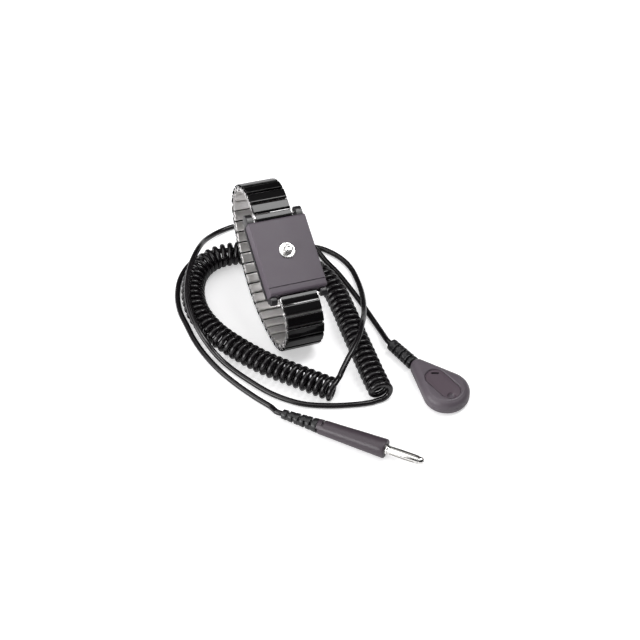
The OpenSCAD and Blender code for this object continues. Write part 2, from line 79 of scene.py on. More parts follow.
MM = 0.001
TO_METRES = Matrix.Scale(MM, 4)
SMOOTH_ANGLE = math.radians(35)

# A flat shape in Y and Z that was drawn up along Z, laid along X
ALONG_X = Matrix(((0, 0, 1, 0), (1, 0, 0, 0), (0, 1, 0, 0), (0, 0, 0, 1)))
# A flat shape in X and Z that was drawn up along Z, laid along -Y
ALONG_Y = Matrix.Rotation(math.radians(90), 4, "X")

STRAP = (
    Matrix.Translation((-1.6, 0.0, 26.5))
    @ Matrix.Rotation(math.radians(8), 4, "Y")
    @ Matrix.Rotation(math.radians(26), 4, "X")
)
SNAP = Matrix.Translation((45.0, -80.3, 0.0)) @ Matrix.Rotation(math.radians(16.3), 4, "Z")
PLUG = (
    Matrix.Translation((-13.6, -75.2, 3.25))
    @ Matrix.Rotation(math.radians(-47.8), 4, "Z")
    @ Matrix.Rotation(math.radians(90 - 1.8), 4, "Y")
)


class Body(Enum):
    """Bodies that the pieces ride on, apart from the links' own."""

    CORD = "cord_set"
    HOUSING = "housing"


class Slot(Enum):
    """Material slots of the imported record."""

    BAND = "band_steel"
    STEEL = "steel"
    SPRING = "spring_steel"
    NICKEL = "nickel"
    HOUSING = "housing_grey"
    PLASTIC = "black_plastic"
    CORD = "cord_black"
    SHELL = "shell_grey"
    RUBBER = "black_rubber"
    RESISTOR = "resistor_tan"
    BRASS = "brass"


# ---------------------------------------------------------------- shaders


class Value:
    """A number that a shader tree works out, with the arithmetic of its Math nodes."""

    def __init__(self, tree: "ShaderTree", output: bpy.types.NodeSocket) -> None:
        """Keeps the tree and the socket that the number comes from."""
        self.tree = tree
        self.output = output

    def __add__(self, other: "Value | float") -> "Value":
        """Adds."""
        return self.tree.math("ADD", self, other)

    __radd__ = __add__

    def __mul__(self, other: "Value | float") -> "Value":
        """Multiplies."""
        return self.tree.math("MULTIPLY", self, other)

    __rmul__ = __mul__

    def __sub__(self, other: "Value | float") -> "Value":
        """Takes other away."""
        return self.tree.math("SUBTRACT", self, other)

    def __rsub__(self, other: "Value | float") -> "Value":
        """Takes this away from other."""
        return self.tree.math("SUBTRACT", other, self)


class ShaderTree:
    """The nodes of one material or of the world."""

    def __init__(self, owner: bpy.types.Material | bpy.types.World) -> None:
        """Empties the owner's node tree."""
        owner.use_nodes = True
        self.tree = owner.node_tree
        self.tree.nodes.clear()

    def node(
        self, kind: str, settings: dict | None = None, inputs: dict | None = None
    ) -> bpy.types.Node:
        """Adds a node.

        Args:
            kind: The node's type.
            settings: Its own settings, which are set first.
            inputs: Values or links of its sockets, by name or number.

        Returns:
            The new node.
        """
        made = self.tree.nodes.new(kind)
        for name, value in (settings or {}).items():
            setattr(made, name, value)
        for key, value in (inputs or {}).items():
            socket = made.inputs[key]
            if isinstance(value, Value):
                self.tree.links.new(value.output, socket)
            elif isinstance(value, bpy.types.NodeSocket):
                self.tree.links.new(value, socket)
            else:
                socket.default_value = value
        return made

    def math(self, operation: str, *values: "Value | float") -> Value:
        """One Math node on the values."""
        made = self.node("ShaderNodeMath", {"operation": operation}, dict(enumerate(values)))
        return Value(self, made.outputs[0])

    def mix(self, share: Value, low: Sequence[float], high: Sequence[float]) -> Value:
        """A colour between low and high."""
        made = self.node(
            "ShaderNodeMix", {"data_type": "RGBA"}, {0: share, 6: (*low, 1.0), 7: (*high, 1.0)}
        )
        return Value(self, made.outputs[2])

    def grain(self, size: float, detail: float = 2.0, stretch: Point3 = (1.0, 1.0, 1.0)) -> Value:
        """Noise from 0 to 1 in the piece's own place.

        Args:
            size: Width of a grain in millimetres.
            detail: Octaves of the noise.
            stretch: How many times finer the grain is along each axis of the strap.

        Returns:
            The noise.
        """
        place = self.node("ShaderNodeTexCoord").outputs["Object"]
        turned = self.node(
            "ShaderNodeMapping",
            None,
            {"Vector": place, "Rotation": STRAP.to_euler(), "Scale": stretch},
        )
        made = self.node(
            "ShaderNodeTexNoise",
            None,
            {"Vector": turned.outputs[0], "Scale": 1 / (size * MM), "Detail": detail},
        )
        return Value(self, made.outputs[0])

    def bumped(self, height: Value, depth: float, strength: float = 1.0) -> Value:
        """Normals of a surface that rises depth millimetres where height is 1."""
        made = self.node(
            "ShaderNodeBump", None, {"Height": height, "Distance": depth * MM, "Strength": strength}
        )
        return Value(self, made.outputs[0])

    def ramp(self, value: bpy.types.NodeSocket, span: Point2, levels: Point2) -> Value:
        """A smooth rise from the first level to the second while value crosses the span."""
        made = self.node(
            "ShaderNodeMapRange",
            {"interpolation_type": "SMOOTHSTEP"},
            {"Value": value, 1: span[0], 2: span[1], 3: levels[0], 4: levels[1]},
        )
        return Value(self, made.outputs[0])

    def surface(self, inputs: dict) -> bpy.types.Node:
        """The Principled shader with these values or links in its sockets."""
        return self.node("ShaderNodeBsdfPrincipled", None, inputs)

    def finish(self, shader: bpy.types.NodeSocket, kind: str = "ShaderNodeOutputMaterial") -> None:
        """Connects the shader to the output."""
        self.node(kind, None, {"Surface": shader})


def shade(colour: Point3, share: float) -> Point3:
    """The colour with each channel multiplied by share."""
    return tuple(c * share for c in colour)


@dataclass(frozen=True)
class Finish:
    """A surface finish; each kind draws its own shader."""

    name: str

    def material(self) -> bpy.types.Material:
        """The finish's material, made once."""
        made = bpy.data.materials.get(self.name)
        if made is None:
            made = bpy.data.materials.new(self.name)
            tree = ShaderTree(made)
            tree.finish(self.shader(tree).outputs[0])
        return made

    def shader(self, tree: ShaderTree) -> bpy.types.Node:
        """The finish's shader node."""
        raise NotImplementedError


@dataclass(frozen=True)
class Moulding(Finish):
    """Moulded plastic or rubber with a fine grain, slightly uneven in colour and gloss."""

    colour: Point3 = (0.05, 0.05, 0.05)
    roughness: float = 0.45
    grain_mm: float = 0.25
    grain_depth: float = 0.012
    unevenness: float = 0.25

    def shader(self, tree: ShaderTree) -> bpy.types.Node:
        """Principled shader with grain in its normal and slow drift in its colour."""
        drift = tree.grain(6.0, 3.0)
        fine = tree.grain(self.grain_mm, 2.0)
        low, high = (shade(self.colour, 1 + k * self.unevenness) for k in (-1, 1))
        return tree.surface({
            "Base Color": tree.mix(drift * 0.7 + fine * 0.3, low, high),
            "Roughness": self.roughness + (drift - 0.5) * 0.12 + (fine - 0.5) * 0.08,
            "Normal": tree.bumped(fine, self.grain_depth),
        })


@dataclass(frozen=True)
class Metal(Finish):
    """Metal that is drawn, brushed or polished along the band's width."""

    colour: Point3 = (0.6, 0.58, 0.56)
    roughness: float = 0.25
    brush_mm: float = 1.2
    brush_depth: float = 0.004
    stain: float = 0.12

    def shader(self, tree: ShaderTree) -> bpy.types.Node:
        """Principled metal with fine lines along X and a slow tarnish."""
        lines = tree.grain(self.brush_mm, 3.0, (0.35, 7.0, 7.0))
        cloud = tree.grain(3.5, 3.0)
        low = shade(self.colour, 1 - self.stain)
        return tree.surface({
            "Base Color": tree.mix(cloud * 0.6 + lines * 0.4, low, self.colour),
            "Roughness": self.roughness + (lines - 0.5) * 0.14 + (cloud - 0.5) * 0.1,
            "Metallic": 1.0,
            "Normal": tree.bumped(lines, self.brush_depth),
        })


@dataclass(frozen=True)
class Enamel(Finish):
    """Gloss enamel baked on metal, with the faint waviness of a dipped coat."""

    colour: Point3 = (0.003, 0.0025, 0.003)
    roughness: float = 0.08

    def shader(self, tree: ShaderTree) -> bpy.types.Node:
        """Principled enamel with a soft wave and fine rubbing marks."""
        wave = tree.grain(2.2, 1.0, (0.5, 1.0, 1.0))
        rub = tree.grain(0.5, 3.0, (0.3, 3.0, 3.0))
        low = shade(self.colour, 0.7)
        return tree.surface({
            "Base Color": tree.mix(wave, low, self.colour),
            "Roughness": self.roughness + (rub - 0.5) * 0.08,
            "Normal": tree.bumped(wave * 0.8 + rub * 0.2, 0.004),
            "IOR": 1.38,
        })


@dataclass(frozen=True)
class Jacket(Finish):
    """Soft vinyl jacket of the cord, glossy with a drawn skin."""

    colour: Point3 = (0.004, 0.003, 0.004)
    roughness: float = 0.24

    def shader(self, tree: ShaderTree) -> bpy.types.Node:
        """Principled vinyl with a fine skin and duller patches."""
        skin = tree.grain(0.35, 2.0)
        patch = tree.grain(5.0, 2.0)
        high = shade(self.colour, 1.6)
        return tree.surface({
            "Base Color": tree.mix(patch, self.colour, high),
            "Roughness": self.roughness + (patch - 0.5) * 0.12 + (skin - 0.5) * 0.06,
            "Normal": tree.bumped(skin, 0.006),
        })


BAND_ENAMEL = Enamel("black_band_enamel")
BAND_STEEL = Metal("stainless_inner_sleeve", (0.96, 0.94, 0.93), 0.32, 1.2, 0.002, 0.06)
WIRE_STEEL = Metal("bow_spring_steel", (0.78, 0.77, 0.77), 0.16, 0.8, 0.002, 0.1)
NICKEL = Metal("polished_nickel", (0.83, 0.82, 0.8), 0.08, 0.8, 0.0015, 0.06)
STUD_NICKEL = Metal("turned_stud_nickel", (0.66, 0.65, 0.64), 0.28, 0.8, 0.0003, 0.03)
BRASS = Metal("drawn_brass", (0.75, 0.56, 0.3), 0.25, 0.8, 0.002, 0.12)
FACE_PLASTIC = Moulding("satin_grey_face", (0.102, 0.083, 0.104), 0.5, 0.22, 0.01, 0.08)
TRAY_PLASTIC = Moulding("black_tray_plastic", (0.014, 0.013, 0.015), 0.3, 0.3, 0.006, 0.2)
SHELL_RUBBER = Moulding("satin_dark_shell", (0.108, 0.09, 0.107), 0.42, 0.25, 0.01, 0.1)
PAD_RUBBER = Moulding("soft_pad_rubber", (0.084, 0.06, 0.077), 0.5, 0.2, 0.012, 0.1)
RELIEF_RUBBER = Moulding("black_relief_rubber", (0.014, 0.0135, 0.015), 0.33, 0.3, 0.008, 0.2)
HANDLE_PLASTIC = Moulding("plug_handle_plastic", (0.059, 0.045, 0.056), 0.36, 0.25, 0.008, 0.1)
RESISTOR_LACQUER = Moulding("tan_resistor_lacquer", (0.55, 0.42, 0.27), 0.35, 0.3, 0.01, 0.1)
CORD_JACKET = Jacket("black_cord_jacket")


# ---------------------------------------------------------------- the bench


def arc(centre: Point2, radius: float, start: float, end: float, steps: int) -> list[Point2]:
    """Points on an arc.

    Args:
        centre: The arc's centre.
        radius: Its radius.
        start: First angle in degrees.
        end: Last angle in degrees.
        steps: How many chords it has.

    Returns:
        steps + 1 points.
    """
    angles = [math.radians(start + (end - start) * k / steps) for k in range(steps + 1)]
    return [(centre[0] + radius * math.cos(a), centre[1] + radius * math.sin(a)) for a in angles]


def soft_rectangle(width: float, height: float, radius: float, steps: int = 6) -> list[Point2]:
    """A rectangle about the origin with rounded corners."""
    x, y = width / 2 - radius, height / 2 - radius
    corners = [(x, y, 0), (-x, y, 90), (-x, -y, 180), (x, -y, 270)]
    return [p for cx, cy, a in corners for p in arc((cx, cy), radius, a, a + 90, steps)]


def shifted(outline: Sequence[Point2], x: float, y: float) -> list[Point2]:
    """The outline moved by x and y."""
    return [(px + x, py + y) for px, py in outline]


def wrapped(circles: Sequence[tuple[float, float, float]], count: int) -> list[Point2]:
    """The outline of a band wrapped round circles.

    Args:
        circles: The centre and radius of each circle.
        count: How many points the outline has.

    Returns:
        The points, anticlockwise.
    """
    points: list[Point2] = []
    for k in range(count):
        a = 2 * math.pi * (k + 0.5) / count
        dx, dy = math.cos(a), math.sin(a)
        x, y, r = max(circles, key=lambda c: c[0] * dx + c[1] * dy + c[2])
        points.append((x + r * dx, y + r * dy))
    return points


class Bench:
    """Modelling moves, in millimetres, on one piece at a time."""

    @staticmethod
    def clear() -> None:
        """Leaves edit mode and lets go of everything."""
        if bpy.context.mode != "OBJECT":
            bpy.ops.object.mode_set(mode="OBJECT")
        bpy.ops.object.select_all(action="DESELECT")

    @staticmethod
    def take(piece: Obj) -> None:
        """Makes piece the only one selected."""
        Bench.clear()
        piece.select_set(True)
        bpy.context.view_layer.objects.active = piece

    @staticmethod
    @contextmanager
    def editing(piece: Obj) -> Iterator[None]:
        """Edit mode on piece, by faces, with nothing selected at first."""
        Bench.take(piece)
        bpy.ops.object.mode_set(mode="EDIT")
        bpy.ops.mesh.select_mode(type="FACE")
        bpy.ops.mesh.select_all(action="DESELECT")
        yield
        bpy.ops.object.mode_set(mode="OBJECT")

    @staticmethod
    def pick(piece: Obj, test: Callable[[Vector, Vector], bool]) -> None:
        """Selects, in edit mode, only the faces whose middle and normal pass the test."""
        bpy.ops.mesh.select_all(action="DESELECT")
        mesh = bmesh.from_edit_mesh(piece.data)
        for face in mesh.faces:
            if test(face.calc_center_median(), face.normal):
                face.select_set(True)
        bmesh.update_edit_mesh(piece.data)

    @staticmethod
    def face_outwards(piece: Obj) -> None:
        """Merges doubles and turns every face outwards."""
        with Bench.editing(piece):
            bpy.ops.mesh.select_all(action="SELECT")
            bpy.ops.mesh.remove_doubles(threshold=0.0005)
            bpy.ops.mesh.normals_make_consistent(inside=False)

    @staticmethod
    def drawn_up(name: str, outline: Sequence[Point2], low: float, high: float) -> Obj:
        """A solid drawn up along Z from a flat outline.

        Args:
            name: The piece's name.
            outline: Its points in X and Y.
            low: Height of its underside.
            high: Height of its top.

        Returns:
            The piece.
        """
        Bench.clear()
        bpy.ops.mesh.primitive_circle_add(vertices=len(outline), fill_type="NGON")
        piece = bpy.context.object
        piece.name = name
        for vertex, (x, y) in zip(piece.data.vertices, outline, strict=True):
            vertex.co = (x, y, low)
        with Bench.editing(piece):
            bpy.ops.mesh.select_all(action="SELECT")
            bpy.ops.mesh.extrude_region_move(
                TRANSFORM_OT_translate={"value": (0, 0, high - low)}
            )
        Bench.face_outwards(piece)
        return piece

    @staticmethod
    def turned(name: str, profile: Sequence[Point2], sides: int = 64) -> Obj:
        """A solid turned about Z.

        Args:
            name: The piece's name.
            profile: Radius and height of each ring, from one end to the other.
            sides: How many sides it has.

        Returns:
            The piece.
        """
        Bench.clear()
        bpy.ops.mesh.primitive_circle_add(vertices=sides, radius=profile[0][0], fill_type="NGON")
        piece = bpy.context.object
        piece.name = name
        for vertex in piece.data.vertices:
            vertex.co.z = profile[0][1]
        with Bench.editing(piece):
            bpy.ops.mesh.select_all(action="SELECT")
            for (r0, z0), (r1, z1) in zip(profile, profile[1:]):
                bpy.ops.mesh.extrude_region_move(TRANSFORM_OT_translate={"value": (0, 0, z1 - z0)})
                ratio = r1 / r0
                bpy.ops.transform.resize(value=(ratio, ratio, 1), center_override=(0, 0, z1))
        Bench.face_outwards(piece)
        return piece

    @staticmethod
    def round_end(piece: Obj, height: float, radius: float, up: float = 1.0, steps: int = 5) -> None:
        """Rounds the rim of the flat end at a height, which then stands radius further out.

        Args:
            piece: The piece.
            height: Where the flat end is.
            radius: Radius of the rim.
            up: 1 for a top, -1 for an underside.
            steps: How many facets the rim has.
        """
        with Bench.editing(piece):
            Bench.pick(piece, lambda c, n: n.z * up > 0.9 and abs(c.z - height) < 0.01)
            for k in range(steps):
                a = math.pi / 2 * k / steps
                b = math.pi / 2 * (k + 1) / steps
                bpy.ops.mesh.inset(
                    thickness=radius * (math.cos(a) - math.cos(b)),
                    depth=radius * (math.sin(b) - math.sin(a)),
                )

    @staticmethod
    def bored(piece: Obj, wall: float) -> None:
        """Opens a drawn-up solid from end to end and leaves a wall all round."""
        with Bench.editing(piece):
            Bench.pick(piece, lambda c, n: abs(n.z) > 0.9)
            bpy.ops.mesh.inset(thickness=wall)
            bpy.ops.mesh.bridge_edge_loops()
        Bench.face_outwards(piece)

    @staticmethod
    def bevelled(piece: Obj, width: float, segments: int = 2, angle: float = 40) -> None:
        """Rounds the edges that are sharper than the angle."""
        Bench.take(piece)
        step = piece.modifiers.new("soft_edges", "BEVEL")
        step.width = width
        step.segments = segments
        step.limit_method = "ANGLE"
        step.angle_limit = math.radians(angle)
        bpy.ops.object.modifier_apply(modifier=step.name)

    @staticmethod
    def cut(piece: Obj, cutter: Obj) -> None:
        """Takes the cutter's shape out of piece and removes the cutter."""
        Bench.take(piece)
        step = piece.modifiers.new("cut", "BOOLEAN")
        step.operation = "DIFFERENCE"
        step.solver = "EXACT"
        step.object = cutter
        bpy.ops.object.modifier_apply(modifier=step.name)
        bpy.data.objects.remove(cutter)

    @staticmethod
    def joined(name: str, pieces: Sequence[Obj]) -> Obj:
        """The pieces as one object."""
        Bench.clear()
        for piece in pieces:
            piece.select_set(True)
        bpy.context.view_layer.objects.active = pieces[0]
        bpy.ops.object.join()
        pieces[0].name = name
        return pieces[0]

    @staticmethod
    def copied(name: str, parts: Sequence[tuple[Obj, Place, bool]]) -> Obj:
        """One new piece from copies of masters.

        Args:
            name: The new piece's name.
            parts: For each copy its master, where a point of it goes, and whether that
                turns its faces over.

        Returns:
            The piece, smooth where its faces meet gently.
        """
        points: list[Vector] = []
        faces: list[list[int]] = []
        for master, place, over in parts:
            start = len(points)
            points += [place(vertex.co) for vertex in master.data.vertices]
            for face in master.data.polygons:
                ring = [start + i for i in face.vertices]
                faces.append(ring[::-1] if over else ring)
        mesh = bpy.data.meshes.new(name)
        mesh.from_pydata(points, [], faces)
        piece = bpy.data.objects.new(name, mesh)
        bpy.context.scene.collection.objects.link(piece)
        mesh.shade_smooth()
        mesh.set_sharp_from_angle(angle=SMOOTH_ANGLE)
        return piece

    @staticmethod
    def smoothed(piece: Obj) -> Obj:
        """Shades piece smooth where its faces meet gently, and hands it back."""
        Bench.take(piece)
        bpy.ops.object.shade_smooth_by_angle(angle=SMOOTH_ANGLE)
        return piece


def set_down(
    piece: Obj,
    place: Matrix,
    body: str,
    finish: Finish,
    slot: Slot,
    nodes: Sequence[str] = (),
) -> Obj:
    """Puts a finished piece in its place, dresses it and hands it to its body.

    Args:
        piece: The piece, in millimetres.
        place: Where its axes go, in millimetres.
        body: The CAD body that it rides on.
        finish: Its finish.
        slot: Its material slot in the record; not used.
        nodes: The CAD nodes that it stands for.

    Returns:
        The piece.
    """
    piece.data.transform(TO_METRES @ place)
    piece.data.materials.clear()
    piece.data.materials.append(finish.material())
    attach(piece, body)
    if nodes:
        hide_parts(*nodes)
    log.info("%s: %d faces on %s", piece.name, len(piece.data.polygons), body)
    return piece


def dress_node(name: str, finish: Finish) -> None:
    """Gives a CAD node that stays its finish."""
    node = frame["nodes"][name]
    if not node.material_slots:
        node.data.materials.append(None)
    for slot in node.material_slots:
        slot.material = finish.material()
    log.info("%s: CAD solid in %s", name, finish.name)


def remove(pieces: Sequence[Obj]) -> None:
    """Clears masters off the bench."""
    for piece in pieces:
        bpy.data.objects.remove(piece)


# ---------------------------------------------------------------- the band


@dataclass
class BandRing:
    """Closed path along the middle of the band's thickness, by length from its start."""

    bend_y: float = 25.5
    outer_r: float = 14.0
    back_depth: float = 21.5
    thickness: float = 3.2
    start_y: float = 20.0
    end_y: float = 23.5
    links: int = 28

    def __post_init__(self) -> None:
        """Works out the arcs and the pitch."""
        depth, outer = self.back_depth, self.outer_r
        self.mid_r = outer - self.thickness / 2
        back_r = (self.bend_y**2 + depth**2 - outer**2) / (2 * (depth - outer))
        self.back_z = back_r - depth
        self.back_mid = back_r - self.thickness / 2
        self.back_angle = math.asin(self.bend_y / (back_r - outer))
        bend = self.mid_r * (math.pi - self.back_angle)
        self.s_bend = self.bend_y - self.start_y
        self.s_back = self.s_bend + bend
        self.s_low = self.s_back + self.back_mid * 2 * self.back_angle
        self.s_end = self.s_low + bend
        self.pitch = (self.s_end + self.bend_y - self.end_y) / self.links

    def facing(self, s: float) -> float:
        """The outward direction at s, in radians from +Z towards +Y."""
        if s < self.s_bend:
            return 0.0
        if s < self.s_back:
            return (s - self.s_bend) / self.mid_r
        if s < self.s_low:
            return math.pi - self.back_angle + (s - self.s_back) / self.back_mid
        if s < self.s_end:
            return math.pi + self.back_angle + (s - self.s_low) / self.mid_r
        return 2 * math.pi

    def point(self, s: float) -> Point2:
        """The path's Y and Z at s."""
        a = self.facing(s)
        if s < self.s_bend:
            return self.start_y + s, self.mid_r
        if s < self.s_back:
            return self.bend_y + self.mid_r * math.sin(a), self.mid_r * math.cos(a)
        if s < self.s_low:
            return self.back_mid * math.sin(a), self.back_z + self.back_mid * math.cos(a)
        if s < self.s_end:
            return -self.bend_y + self.mid_r * math.sin(a), self.mid_r * math.cos(a)
        return -self.bend_y + s - self.s_end, self.mid_r

    def axes(self, s: float) -> Matrix:
        """Axes on the path at s: +Y along the band and +Z outwards."""
        y, z = self.point(s)
        return Matrix.Translation((0, y, z)) @ Matrix.Rotation(-self.facing(s), 4, "X")

    def link_s(self, number: int) -> float:
        """Where the outer sleeve of a link lies."""
        return (number - 0.5) * self.pitch


@dataclass
class ExpansionBand:
    """Two rows of hollow sleeves held together by bows at both edges."""

    ring: BandRing = field(default_factory=BandRing)
    sleeve_length: float = 17.2
    outer_width: float = 4.4
    inner_width: float = 4.3
    row_thickness: float = 1.55
    row_height: float = 0.825
    wall: float = 0.25
    corner: float = 0.42
    crown: float = 0.015
    leg_width: float = 0.7
    leg_height: float = 0.625
    leg_half: float = 0.25
    leg_x: float = 5.8
    cheek_in: float = 8.68
    cheek_out: float = 8.98

    def build(self) -> None:
        """Makes the masters, copies them round the ring and clears them away."""
        outer = self.sleeve("outer_master", self.outer_width)
        inner = self.sleeve("inner_master", self.inner_width)
        bow = self.bow_master()
        leaf = self.leaf_master()
        for number in range(1, self.ring.links + 1):
            self.link(number, outer, inner, bow, leaf)
        remove([outer, inner, bow, leaf])

    def sleeve(self, name: str, width: float) -> Obj:
        """Hollow sleeve along X with a crowned face on its +Z side."""
        x, r = width / 2, self.corner
        top = self.row_thickness / 2
        low = top - self.crown
        face = [(-x + r + (width - 2 * r) * k / 8, k / 8) for k in range(1, 8)]
        crown = [(y, low + self.crown * math.sin(math.pi * t)) for y, t in face]
        outline = [
            *arc((x - r, low - r), r, 0, 90, 4),
            *reversed(crown),
            *arc((-x + r, low - r), r, 90, 180, 4),
            *arc((-x + r, -top + r), r, 180, 270, 4),
            *arc((x - r, -top + r), r, 270, 360, 4),
        ]
        half = self.sleeve_length / 2
        piece = Bench.drawn_up(name, outline, -half, half)
        Bench.bored(piece, self.wall)
        Bench.bevelled(piece, 0.05, 1, 60)
        piece.data.transform(ALONG_X)
        return piece

    def bow_master(self) -> Obj:
        """U-shaped bow of flat wire at the +X edge, its legs one above the other."""
        top, low = self.leg_height + self.leg_half, self.leg_height - self.leg_half
        out, inn = self.cheek_out, self.cheek_in
        upper = [(self.leg_x, top), (out - 0.2, top), (out - 0.06, top - 0.06), (out, top - 0.2)]
        inside = [(self.leg_x, low), (inn - 0.12, low), (inn, low - 0.12)]
        outline = [
            *upper,
            *[(x, -z) for x, z in reversed(upper)],
            *[(x, -z) for x, z in inside],
            *reversed(inside),
        ]
        half = self.leg_width / 2
        piece = Bench.drawn_up("bow_master", outline, -half, half)
        Bench.bevelled(piece, 0.07, 2, 60)
        piece.data.transform(ALONG_Y)
        return piece

    def leaf_master(self) -> Obj:
        """Bowed leaf spring that lies in a sleeve and presses on the legs."""
        xs = [-7 + 14 * k / 10 for k in range(11)]
        rise = [0.24 * (1 - (x / 7) ** 2) for x in xs]
        outline = [(x, 0.11 + h) for x, h in zip(xs, rise)]
        outline += [(x, 0.26 + h) for x, h in reversed(list(zip(xs, rise)))]
        piece = Bench.drawn_up("leaf_master", outline, -1.5, 1.5)
        piece.data.transform(ALONG_Y)
        return piece

    def bow_place(self, s_out: float, u_out: float, s_in: float, u_in: float, flip: bool) -> Place:
        """Where a bow's points go: its upper leg on one sleeve and its lower on another."""
        upper = self.ring.axes(s_out) @ Matrix.Translation((0, u_out, 0))
        lower = self.ring.axes(s_in) @ Matrix.Translation((0, u_in, 0))
        edge = self.leg_height - self.leg_half
        side = -1 if flip else 1

        def place(point: Vector) -> Vector:
            """Blends between the two legs' axes by height."""
            share = min(max((edge - point.z) / (2 * edge), 0.0), 1.0)
            own = Vector((point.x * side, point.y, point.z))
            return (upper @ own).lerp(lower @ own, share)

        return place

    def link(self, number: int, outer: Obj, inner: Obj, bow: Obj, leaf: Obj) -> None:
        """One link: outer sleeve, inner sleeve, its bows and its leaf springs."""
        ring, name = self.ring, f"{number:02d}"
        node = f"link_{name}"
        body = frame["nodes"][node]["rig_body"]
        s, last = ring.link_s(number), number == ring.links
        s_in = s + ring.pitch / 2
        on_outer = ring.axes(s) @ Matrix.Translation((0, 0, self.row_height))
        below = Matrix.Translation((0, 0, -self.row_height)) @ Matrix.Rotation(math.pi, 4, "Y")
        on_inner = ring.axes(s_in) @ below
        sides = (False, True)
        bows = []
        if number > 1:
            bows += [(bow, self.bow_place(s, -1.5, s - ring.pitch / 2, -0.4, f), f) for f in sides]
        leaves = [(leaf, on_outer.__matmul__, False)]
        made = Bench.copied(f"outer_sleeve_{name}", [(outer, on_outer.__matmul__, False)])
        set_down(made, STRAP, body, BAND_ENAMEL, Slot.BAND, [node])
        if not last:
            bows += [(bow, self.bow_place(s, 1.5, s_in, -1.4, f), f) for f in sides]
            leaves.append((leaf, on_inner.__matmul__, False))
            made = Bench.copied(f"inner_sleeve_{name}", [(inner, on_inner.__matmul__, False)])
            set_down(made, STRAP, body, BAND_STEEL, Slot.STEEL, [node])
        set_down(Bench.copied(f"bows_{name}", bows), STRAP, body, WIRE_STEEL, Slot.SPRING, [node])
        made = Bench.copied(f"leaf_springs_{name}", leaves)
        set_down(made, STRAP, body, WIRE_STEEL, Slot.SPRING, [node])


# ---------------------------------------------------------------- the housing


